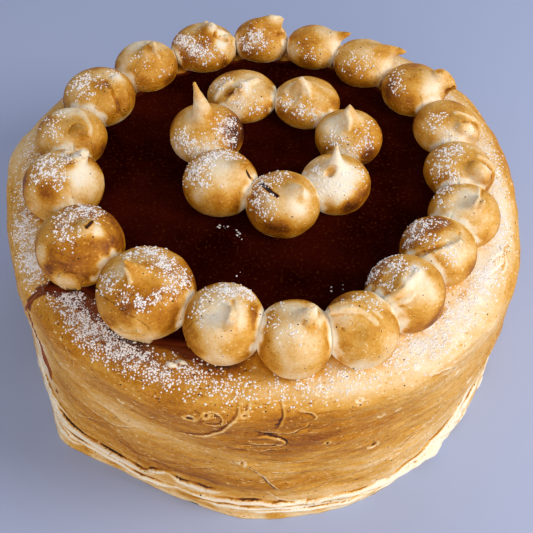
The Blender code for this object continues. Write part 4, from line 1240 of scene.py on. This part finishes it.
def piped_dollop_tree():
    tree, identifiers, given = new_tree(
        "piped dollop",
        "Dollop",
        {
            "Geometry": ("Strokes",),
            "Vector": ("Own middle", "Next middle", "Last middle", "Low corner", "High corner"),
            "Float": ("Own radius", "Own height", "Next radius", "Next height", "Last radius", "Last height",
                      "Lump seed"),
            "Int": ("Cells X", "Cells Y", "Cells Z"), "Object": ("Seat",), "Material": ("Finish",),
        },
    )
    place = add(tree, "GeometryNodeInputPosition")
    dome, ahead, behind = (
        dome_field(tree, place, given[who + " middle"], given[who + " radius"], given[who + " height"])
        for who in ("Own", "Next", "Last")
    )
    neighbour = add(tree, "ShaderNodeMath", {0: ahead, 1: behind}, operation="MAXIMUM")
    tail, ridge, crease, lobe, dish = (
        stroke_field(tree, given["Strokes"], place, kind) for kind in (TAIL, RIDGE, CREASE, LOBE, DISH)
    )
    dish = add(tree, "ShaderNodeMath", {0: dish, 1: -1.0}, operation="MULTIPLY")
    shape = dome
    for other, blend, operation in (
        (tail, TAIL_BLEND, "SMOOTH_MAX"), (lobe, LOBE_BLEND, "SMOOTH_MAX"), (dish, DISH_BLEND, "SMOOTH_MIN"),
        (ridge, RIDGE_BLEND, "SMOOTH_MAX"),
    ):
        shape = add(tree, "ShaderNodeMath", {0: shape, 1: other, 2: blend * MM}, operation=operation)
    seam = add(tree, "ShaderNodeMath", {0: shape, 1: neighbour}, operation="SUBTRACT")
    half_seam = add(tree, "ShaderNodeMath", {0: seam, 1: 0.5, 2: SEAM_GAP * MM}, operation="MULTIPLY_ADD")
    shape = add(tree, "ShaderNodeMath", {0: shape, 1: half_seam, 2: SEAM_BLEND * MM}, operation="SMOOTH_MIN")
    for length, depth in LUMPS:
        lumps = add(
            tree, "ShaderNodeTexNoise",
            {"Vector": place, "W": given["Lump seed"], "Scale": 1 / (length * MM), "Detail": 1.0},
            noise_dimensions="4D",
        )
        lumps = add(tree, "ShaderNodeMath", {0: lumps, 1: 0.5}, operation="SUBTRACT")
        shape = add(tree, "ShaderNodeMath", {0: lumps, 1: depth * MM, 2: shape}, operation="MULTIPLY_ADD")
    uncut = shape
    cut = add(tree, "ShaderNodeMath", {0: crease, 1: -1.0}, operation="MULTIPLY")
    shape = add(tree, "ShaderNodeMath", {0: shape, 1: cut, 2: CREASE_BLEND * MM}, operation="SMOOTH_MIN")
    lift = add(tree, "ShaderNodeSeparateXYZ", {0: place}, output=2)
    lift = add(tree, "ShaderNodeMath", {0: lift, 1: TOP_HEIGHT * MM}, operation="SUBTRACT")
    standing = add(tree, "ShaderNodeMath", {0: lift, 1: SEAT_DEPTH * MM}, operation="ADD")
    shape = add(tree, "ShaderNodeMath", {0: shape, 1: standing, 2: SEAT_BLEND * MM}, operation="SMOOTH_MIN")

    box = {"Density": shape, "Background": -1.0, "Min": given["Low corner"], "Max": given["High corner"]}
    for axis in "XYZ":
        box["Resolution " + axis] = given["Cells " + axis]
    volume = add(tree, "GeometryNodeVolumeCube", box)
    skin = add(tree, "GeometryNodeVolumeToMesh", {"Volume": volume, "Threshold": 0.0})
    for label, value in (("seam", seam), ("under", uncut), ("ridge", ridge), ("lift", lift)):
        value = add(tree, "ShaderNodeMath", {0: value, 1: 1 / MM}, operation="MULTIPLY")
        skin = add(
            tree, "GeometryNodeStoreNamedAttribute", {"Geometry": skin, "Name": label, "Value": value},
            data_type="FLOAT",
        )
    eased = add(
        tree, "GeometryNodeBlurAttribute", {"Value": place, "Iterations": 1}, data_type="FLOAT_VECTOR"
    )
    skin = add(tree, "GeometryNodeSetPosition", {"Geometry": skin, "Position": eased})

    # let the foot follow the shoulder, and leave the crown where it is
    seat = add(tree, "GeometryNodeObjectInfo", {"Object": given["Seat"]}, output="Geometry")
    high = add(tree, "ShaderNodeVectorMath", {0: place, 1: (1, 1, 0)}, operation="MULTIPLY")
    high = add(tree, "ShaderNodeVectorMath", {0: high, 1: (0, 0, 0.2)}, operation="ADD")
    below = add(
        tree, "GeometryNodeRaycast",
        {"Target Geometry": seat, "Source Position": high, "Ray Direction": (0, 0, -1), "Ray Length": 1.0},
        output="Hit Position",
    )
    fall = add(tree, "ShaderNodeSeparateXYZ", {0: below}, output=2)
    fall = add(tree, "ShaderNodeMath", {0: fall, 1: TOP_HEIGHT * MM}, operation="SUBTRACT")
    fall = add(tree, "ShaderNodeMath", {0: fall, 1: -DEEPEST_SAG * MM}, operation="MAXIMUM")
    rise = add(tree, "ShaderNodeMath", {0: lift, 1: given["Own height"]}, operation="DIVIDE", use_clamp=True)
    grip = add(tree, "ShaderNodeMath", {0: 1.0, 1: rise}, operation="SUBTRACT")
    fall = add(tree, "ShaderNodeMath", {0: fall, 1: grip}, operation="MULTIPLY")
    offset = add(tree, "ShaderNodeCombineXYZ", {2: fall})
    skin = add(tree, "GeometryNodeSetPosition", {"Geometry": skin, "Offset": offset})
    skin = add(tree, "GeometryNodeSetShadeSmooth", {"Geometry": skin})
    hand_out(tree, skin, given["Finish"])
    return tree, identifiers


seat_mesh = bpy.data.meshes.new("seat")
seat_mesh.from_pydata([tuple(p * MM) for p in cake_corners], [], cake_faces)
seat_object = stand("seat", seat_mesh)
piped_meringue = meringue("torched meringue, piped", (11, 1.5, 0.28), (3, 2.5, 0.16), (1.4, 1.5, 0.18))
dollop_tree, dollop_sockets = piped_dollop_tree()


def metres(vector):
    return [float(v) * MM for v in vector]


def point_values(mesh, label):
    values = np.zeros(len(mesh.vertices), np.float32)
    mesh.attributes[label].data.foreach_get("value", values)
    return values.astype(float)


def set_point_values(mesh, label, values):
    mesh.attributes.new(label, "FLOAT", "POINT").data.foreach_set("value", values.astype(np.float32))


def stroke_points(name, strokes):
    """The spines of a dollop's strokes as loose points, with their kinds and breadths."""
    mesh = bpy.data.meshes.new(name)
    mesh.from_pydata([tuple(p * MM) for p in np.concatenate([spine for _, spine, _ in strokes])], [], [])
    kinds = np.concatenate([np.full(len(spine), kind) for kind, spine, _ in strokes]).astype(np.int32)
    mesh.attributes.new("kind", "INT", "POINT").data.foreach_set("value", kinds)
    set_point_values(mesh, "breadth", np.concatenate([breadths for *_, breadths in strokes]) * MM)
    return mesh


def nearness(points, dollop, marks):
    """How near each point is to each mark on a dollop's skin, counted in the mark's own spread."""
    places = skin_places(dollop, np.array([way_to(mark[0], mark[1]) for mark in marks]))
    return np.linalg.norm(points[:, None] - places[None], axis=2) / np.array([mark[2] for mark in marks])


dollop_pieces = []
for ring in RINGS:
    for number, dollop in enumerate(ring.dollops):
        ahead = ring.dollops[(number + 1) % len(ring.dollops)]
        behind = ring.dollops[number - 1]
        middle = dollop_middle(ring, dollop)
        strokes = [(TAIL, *tail_stroke(dollop))] + [laid_stroke(dollop, stroke) for stroke in dollop.strokes]
        cracks = [spine for kind, spine, _ in strokes if kind == CRACK]
        strokes = [
            (CREASE if kind == CRACK else kind, spine + middle, breadths) for kind, spine, breadths in strokes
        ]
        points = strokes[0][1]
        low = np.minimum(middle - dollop.radius - DOME_ROOM, points.min(0) - TAIL_ROOM)
        high = np.maximum(middle + dollop.radius + DOME_ROOM, points.max(0) + TAIL_ROOM)
        low[2] = TOP_HEIGHT - 1.0
        high[2] = max(TOP_HEIGHT + dollop.height, points[:, 2].max() + 1) + TAIL_ROOM
        cells = np.ceil((high - low) / CELL).astype(int)
        values = {
            "Low corner": metres(low), "High corner": metres(high), "Seat": seat_object,
            "Lump seed": float(number * 3 + len(ring.name)), "Finish": piped_meringue,
        }
        for who, one in (("Own", dollop), ("Next", ahead), ("Last", behind)):
            values[who + " middle"] = metres(dollop_middle(ring, one))
            values[who + " radius"] = one.radius * MM
            values[who + " height"] = one.height * MM
        for axis, count in zip("XYZ", cells):
            values["Cells " + axis] = int(count)
        name = f"piped_{ring.name}_{number + 1:02d}"
        piece = run_tree(name, stroke_points(name, strokes), dollop_tree, dollop_sockets, values)
        mesh = piece.data
        corners = np.array([v.co for v in mesh.vertices]) / MM
        facing = np.array([v.normal for v in mesh.vertices])
        lift, seam, ridge, under = (point_values(mesh, label) for label in ("lift", "seam", "ridge", "under"))
        here = np.stack([corners[:, 0] - middle[0], corners[:, 1] - middle[1], lift], axis=1)
        # the belly round the widest part is browner: toasting, and painted shade
        bulge = np.exp(-(((lift / dollop.height - 0.45) / 0.33) ** 2))
        ground = GROUND_TONE + BELLY_TOAST_AND_SHADE * bulge + 0.05 * waves(corners, 17.0, 40 + number)
        # torch marks, some of them painted highlights on lit faces and painted shade under the tails
        close = np.exp(-nearness(here, dollop, dollop.torched) ** 2)
        tones = np.array([tone for *_, tone in dollop.torched])
        toast = (GROUND_SHARE * ground + close @ tones) / (GROUND_SHARE + close.sum(1))
        toast = GROUND_TONE + TONE_SPREAD * (toast - MIDDLE_TONE) + 0.06 * bulge
        toast += 0.03 * waves(corners, 7.0, 70 + number)
        toast += (RIDGE_TONE - toast) * 0.6 * smoothstep(-0.5, 0.2, ridge)
        # painted shade inside the creases and along the cracks
        toast += CREASE_SHADE * smoothstep(0.1, 0.6, under) * (lift > 1)
        for spine in cracks:
            gap = np.linalg.norm(here[:, None] - spine[None], axis=2).min(1)
            toast += CRACK_SHADE * smoothstep(1.0, 0.5, gap)
        ragged = 0.5 * waves(corners, 5.0, 99)
        toast *= smoothstep(0.1, 3.4, seam + ragged) * smoothstep(-0.2, 1.4, lift + 0.6 * ragged)
        amounts = np.array([amount for *_, amount in dollop.sugared])
        dust = 1.15 * (amounts * np.exp(-nearness(here, dollop, dollop.sugared) ** 2.4)).max(1)
        dust *= smoothstep(-0.15, 0.4, facing[:, 2])
        for label, values in (("toast", toast), ("dust", dust), ("fold", NO_FOLD + 0 * toast)):
            set_point_values(mesh, label, values)
        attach(piece, "root")
        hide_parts(f"dollop_{ring.name}_{number + 1:02d}")
        dollop_pieces.append(piece)
bpy.data.objects.remove(seat_object)

# Where the outer dollops stand on the coat, a darker line: the flame lingered there, and painted shade lies
# at their feet.
mesh = coat_piece.data
corners = np.array([v.co for v in mesh.vertices]) / MM
gap = np.full(len(corners), 99.0)
for dollop in OUTER_DOLLOPS:
    middle = dollop_middle(RINGS[0], dollop)
    from_middle = np.hypot(corners[:, 0] - middle[0], corners[:, 1] - middle[1])
    gap = np.minimum(gap, from_middle - FOOT_RADIUS_SHARE * dollop.radius)
toast = point_values(mesh, "toast") + RING_TOAST_AND_SHADE * np.exp(-np.maximum(gap, 0) / RING_TOAST_AND_SHADE_WIDTH)
mesh.attributes["toast"].data.foreach_set("value", toast.astype(np.float32))


# --------------------------------------------------------------------------------------------------
# The glaze: chocolate and cream, poured warm on the flat top, run out to the dollops' feet and set.
# It lies in the coat's recess, thins to a reddish edge where it crept out, and climbs a bit at each dollop.
GLAZE_COLUMNS = 300
GLAZE_SHARES = np.concatenate([np.linspace(0.02, 0.86, 60), np.linspace(0.87, 1.0, 28)])
CLIMB, CLIMB_WIDTH, CLIMB_FOOT_SHARE = 0.7, 1.0, 0.9
POOL_RISE, POOL_RISE_WIDTH = 0.3, 1.5
EDGE_SINK, EDGE_SINK_WIDTH = 0.35, 0.8
SKIRT_DEPTH, BOTTOM_SHARE, GLAZE_BOTTOM = 0.9, 0.6, TOP_HEIGHT - 2.0
# Sugar that missed the dollops and lies on the glaze: place, spread and how thick.
FALLEN = (
    (-17, -25, 2.0, 0.55), (-14, -26, 1.5, 0.5), (-11, -27, 1.5, 0.5), (-10, -30, 1.2, 0.5),
    (-10, -49, 1.0, 0.6), (-26, -5, 1.5, 0.5), (30, -54, 3.0, 0.22), (-62, -20, 3.0, 0.2),
    (12, 2, 3.0, 0.2), (44, 26, 4.0, 0.16),
)

turns = np.radians(np.arange(GLAZE_COLUMNS) * 360 / GLAZE_COLUMNS)
outermost = np.array([
    glaze_reach(GLAZE_CENTRE[0] + 0.001 * math.cos(t), GLAZE_CENTRE[1] + 0.001 * math.sin(t)) for t in turns
])
radius = outermost[:, None] * GLAZE_SHARES[None, :]
glaze_x = GLAZE_CENTRE[0] + radius * np.cos(turns)[:, None]
glaze_y = GLAZE_CENTRE[1] + radius * np.sin(turns)[:, None]
glaze_z = np.array([
    [cake_tree.ray_cast(Vector((x, y, OUTSIDE)), Vector((0, 0, -1)))[0].z for x, y in zip(xs, ys)]
    for xs, ys in zip(glaze_x, glaze_y)
])
glaze_z = soft_round(glaze_z, 1.5)
inward = outermost[:, None] - radius
climb = np.zeros(radius.shape)
for ring in RINGS:
    for dollop in ring.dollops:
        middle = dollop_middle(ring, dollop)
        gap = np.hypot(glaze_x - middle[0], glaze_y - middle[1]) - dollop.radius * CLIMB_FOOT_SHARE
        climb = np.maximum(climb, np.exp(-np.maximum(gap, 0) / CLIMB_WIDTH))
flat = np.stack([glaze_x, glaze_y, 0 * glaze_x], -1).reshape(-1, 3)
glaze_z += POOL_RISE * (1 - np.exp(-inward / POOL_RISE_WIDTH))
glaze_z += CLIMB * climb - EDGE_SINK * np.exp(-inward / EDGE_SINK_WIDTH)
glaze_z += (0.10 * waves(flat, 26.0, 61) + 0.03 * waves(flat, 7.0, 62)).reshape(radius.shape)
glaze = np.stack([glaze_x, glaze_y, glaze_z], -1)
skirt = glaze[:, -1:] - [0, 0, SKIRT_DEPTH]
bottom = (skirt - [*GLAZE_CENTRE, 0]) * [BOTTOM_SHARE, BOTTOM_SHARE, 1] + [*GLAZE_CENTRE, 0]
bottom[..., 2] = GLAZE_BOTTOM
glaze = np.concatenate([glaze, skirt, bottom], axis=1)[:, ::-1]
thin = np.concatenate([inward, inward[:, -1:], inward[:, -1:]], axis=1)[:, ::-1]
crumbs = np.zeros(thin.shape)
for x, y, spread, amount in FALLEN:
    away = np.hypot(glaze[..., 0] - x, glaze[..., 1] - y) / spread
    crumbs = np.maximum(crumbs, amount * np.exp(-(away**2)))
glaze_piece = closed_skin(
    "chocolate_glaze_pool",
    glaze,
    (*GLAZE_CENTRE, GLAZE_BOTTOM),
    (*GLAZE_CENTRE, float(glaze_z[:, 0].mean())),
    {"thin": thin, "dust": crumbs},
)

# Dark chocolate glaze, set: near black where it is deep, red-brown where it is a film, and only half shiny.
set_glaze, shader = new_material("dark chocolate glaze, set", {"Specular IOR Level": 0.0})
tree = set_glaze.node_tree
place = add(tree, "ShaderNodeTexCoord", output=3)
plain = add(tree, "ShaderNodeMapping", {"Vector": place, "Scale": (1 / MM, 1 / MM, 1 / MM)})
film = add(tree, "ShaderNodeAttribute", output=2, attribute_name="thin")
thinness = add(tree, "ShaderNodeMapRange", {0: film, 1: 3.5, 2: 0.0}, interpolation_type="SMOOTHSTEP")
cloud, flecks, dull = (
    add(tree, "ShaderNodeTexNoise", {"Vector": plain, "Scale": scale, "Detail": detail, "Roughness": rough})
    for scale, detail, rough in ((0.035, 4.0, 0.5), (0.8, 3.0, 0.6), (0.25, 3.0, 0.5))
)
cloud = add(tree, "ShaderNodeMapRange", {0: cloud, 1: 0.36, 2: 0.66})
flecks = add(tree, "ShaderNodeMapRange", {0: flecks, 1: 0.56, 2: 0.74, 4: 0.75})
body = colour("1B0100")
for share, tint in ((cloud, "360A03"), (thinness, "6A2A12"), (flecks, "52280F")):
    body = add(tree, "ShaderNodeMix", {0: share, 6: body, 7: colour(tint)}, output=2, data_type="RGBA")
tree.links.new(body, shader.inputs["Base Color"])
dull = add(tree, "ShaderNodeMapRange", {0: dull, 3: 0.22, 4: 0.4})
tree.links.new(dull, shader.inputs["Roughness"])
glaze_piece.data.materials.append(set_glaze)
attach(glaze_piece, "root")
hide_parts("chocolate_glaze")


# --------------------------------------------------------------------------------------------------
# The drip: a thread of the glaze that ran from the film at the edge down the coat and set as a drop.
# The thread, and two pale flakes on the shoulder, are beads that a tree draws along paths on the coat.
MM_IN_A_DEGREE = 1.9  # round the coat
BEAD_STEP, FEWEST_STEPS = 0.8, 12
Bead = namedtuple("Bead", "path breadths")
DRIP = (
    Bead(
        ((-145, 84), (-145.2, 79), (-146.2, 72), (-147.4, 62), (-147.6, 50), (-147, 42), (-145.4, 37),
         (-143.6, 32), (-143, 27)),
        (0.3, 0.6, 0.5, 0.42, 0.38, 0.38, 0.42, 0.6, 1.25, 0.9, 0.1),
    ),
    Bead(((-141.8, 24.5), (-141.2, 22.5)), (0.1, 0.7, 0.1)),
)
FLAKES = (
    Bead(((-110.4, 91.8), (-107.9, 90.9)), (0.3, 1.0, 1.35, 1.4, 1.3, 1.0, 0.3)),
    Bead(((-108.2, 93.8), (-106.2, 92.9)), (0.3, 0.9, 1.15, 1.15, 0.9, 0.3)),
)


def on_coat(azimuth, height):
    """A point on the finished coat."""
    column = int(np.abs(apart(columns, azimuth)).argmin())
    return np.array([np.interp(height, rows, coat[column, :, axis]) for axis in range(3)])


def bead_tree():
    tree, identifiers, given = new_tree(
        "bead along a path", "Bead", {"Geometry": ("Spine",), "Material": ("Finish",)}
    )
    breadth = add(tree, "GeometryNodeInputNamedAttribute", {"Name": "breadth"}, data_type="FLOAT")
    spine = add(tree, "GeometryNodeMeshToCurve", {0: given["Spine"]})
    round_section = add(tree, "GeometryNodeCurvePrimitiveCircle", {"Resolution": 12, "Radius": 1.0})
    skin = add(
        tree, "GeometryNodeCurveToMesh",
        {"Curve": spine, "Profile Curve": round_section, "Scale": breadth, "Fill Caps": True},
    )
    skin = add(tree, "GeometryNodeSetShadeSmooth", {"Geometry": skin})
    hand_out(tree, skin, given["Finish"])
    return tree, identifiers


def draw_beads(name, beads, finish):
    """Draws beads on the coat by the tree and keeps them as one plain mesh."""
    corners, edges, breadths = [], [], []
    for bead in beads:
        places = rounded(bead.path)
        runs = np.diff(places * [MM_IN_A_DEGREE, 1], axis=0)
        along = np.append(0, np.cumsum(np.linalg.norm(runs, axis=1)))
        at = np.linspace(0, along[-1], max(FEWEST_STEPS, int(along[-1] / BEAD_STEP)))
        spine = [on_coat(np.interp(s, along, places[:, 0]), np.interp(s, along, places[:, 1])) for s in at]
        edges += [(len(corners) + i, len(corners) + i + 1) for i in range(len(spine) - 1)]
        corners += [tuple(p * MM) for p in spine]
        breadths += list(np.interp(at / along[-1], np.linspace(0, 1, len(bead.breadths)), bead.breadths) * MM)
    mesh = bpy.data.meshes.new(name)
    mesh.from_pydata(corners, edges, [])
    set_point_values(mesh, "breadth", np.array(breadths))
    obj = run_tree(name, mesh, beads_tree, beads_sockets, {"Finish": finish})
    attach(obj, "root")


# The same glaze as a thin thread: light comes through it, so it looks redder than the pool.
thin_glaze, _ = new_material(
    "dark chocolate glaze, thin",
    {"Base Color": colour("84400F"), "Roughness": 0.3, "Specular IOR Level": 0.25},
)

beads_tree, beads_sockets = bead_tree()
draw_beads("glaze_drip", DRIP, thin_glaze)
draw_beads("meringue_flakes", FLAKES, piped_meringue)


# --------------------------------------------------------------------------------------------------
# The icing sugar: sifted over the finished cake, where it clots into small white grains.
# Grains are flat eight-sided crumbs, strewn by a tree over the dusted places of the coat and of the dollops.
GRAIN_SIZES = (0.4, 1.25)
GRAIN_SEED = 5
# grains in a square metre where the sugar lies thickest
GRAINS_ON_COAT, GRAINS_ON_DOLLOPS, GRAINS_ON_GLAZE = 4.6e6, 4.2e6, 2.6e6


def strewn_sugar_tree():
    tree, identifiers, given = new_tree(
        "strewn sugar",
        "Sugar",
        {
            "Geometry": ("Ground",), "Float": ("Grains in a square metre", "Smallest", "Largest"),
            "Int": ("Seed",), "Material": ("Finish",),
        },
    )
    place = add(tree, "GeometryNodeInputPosition")
    dusted = add(tree, "GeometryNodeInputNamedAttribute", {"Name": "dust"}, data_type="FLOAT")
    clots = add(
        tree, "ShaderNodeTexNoise", {"Vector": place, "Scale": 420.0, "Detail": 3.0, "Roughness": 0.6}
    )
    clots = add(tree, "ShaderNodeMapRange", {0: clots, 1: 0.41, 2: 0.59}, interpolation_type="SMOOTHSTEP")
    amount = add(tree, "ShaderNodeMath", {0: dusted, 1: 1.6}, operation="POWER")
    for factor in (clots, given["Grains in a square metre"]):
        amount = add(tree, "ShaderNodeMath", {0: amount, 1: factor}, operation="MULTIPLY")
    points = add(
        tree, "GeometryNodeDistributePointsOnFaces",
        {"Mesh": given["Ground"], "Density": amount, "Seed": given["Seed"]},
        distribute_method="RANDOM",
    )
    turned = points.node.outputs["Rotation"]
    spin = add(tree, "FunctionNodeRandomValue", {3: 6.28, 8: given["Seed"]}, output=1, data_type="FLOAT")
    spin = add(tree, "ShaderNodeCombineXYZ", {2: spin})
    turned = add(tree, "FunctionNodeRotateRotation", {0: turned, 1: spin}, rotation_space="LOCAL")
    grain = add(tree, "GeometryNodeMeshUVSphere", {"Segments": 4, "Rings": 2, "Radius": 1.0})
    flat = add(tree, "GeometryNodeTransform", {"Geometry": grain, "Scale": (1.0, 0.8, 0.7)})
    size = add(
        tree, "FunctionNodeRandomValue", {2: given["Smallest"], 3: given["Largest"], 8: 3},
        output=1, data_type="FLOAT",
    )
    strewn = add(
        tree, "GeometryNodeInstanceOnPoints",
        {"Points": points, "Instance": flat, "Rotation": turned, "Scale": size},
    )
    hand_out(tree, strewn, given["Finish"])
    return tree, identifiers


# Icing sugar: ground so fine that each clot scatters all light and looks chalk white, with no gloss.
icing_sugar, shader = new_material("icing sugar, clotted", {"Roughness": 0.95, "Specular IOR Level": 0.2})
tree = icing_sugar.node_tree
place = add(tree, "ShaderNodeTexCoord", output=3)
tint = add(tree, "ShaderNodeTexNoise", {"Vector": place, "Scale": 900.0, "Detail": 2.0})
tint = add(
    tree, "ShaderNodeMix", {0: tint, 6: colour("E9E4E4"), 7: colour("FFFFFF")}, output=2, data_type="RGBA"
)
tree.links.new(tint, shader.inputs["Base Color"])

sugar_tree, sugar_sockets = strewn_sugar_tree()


def strew(name, grounds, thickness):
    """Strews sugar over the finished pieces and keeps it as one plain mesh."""
    corners, faces, dusts, start = [], [], [], 0
    for ground in grounds:
        mesh = ground.data
        points = np.array([v.co for v in mesh.vertices])
        corners += [tuple(p) for p in points]
        faces += [tuple(i + start for i in face.vertices) for face in mesh.polygons]
        dusts.append(point_values(mesh, "dust"))
        start += len(points)
    mesh = bpy.data.meshes.new(name)
    mesh.from_pydata(corners, [], faces)
    set_point_values(mesh, "dust", np.concatenate(dusts))
    obj = run_tree(
        name,
        mesh,
        sugar_tree,
        sugar_sockets,
        {
            "Grains in a square metre": thickness, "Smallest": GRAIN_SIZES[0] * MM / 2,
            "Largest": GRAIN_SIZES[1] * MM / 2, "Seed": GRAIN_SEED, "Finish": icing_sugar,
        },
    )
    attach(obj, "root")


strew("icing_sugar_on_coat", [coat_piece], GRAINS_ON_COAT)
strew("icing_sugar_on_dollops", dollop_pieces, GRAINS_ON_DOLLOPS)
strew("icing_sugar_on_glaze", [glaze_piece], GRAINS_ON_GLAZE)

size = {"cad": [list(corner) for corner in cad_box], "visual": [list(corner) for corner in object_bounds()]}
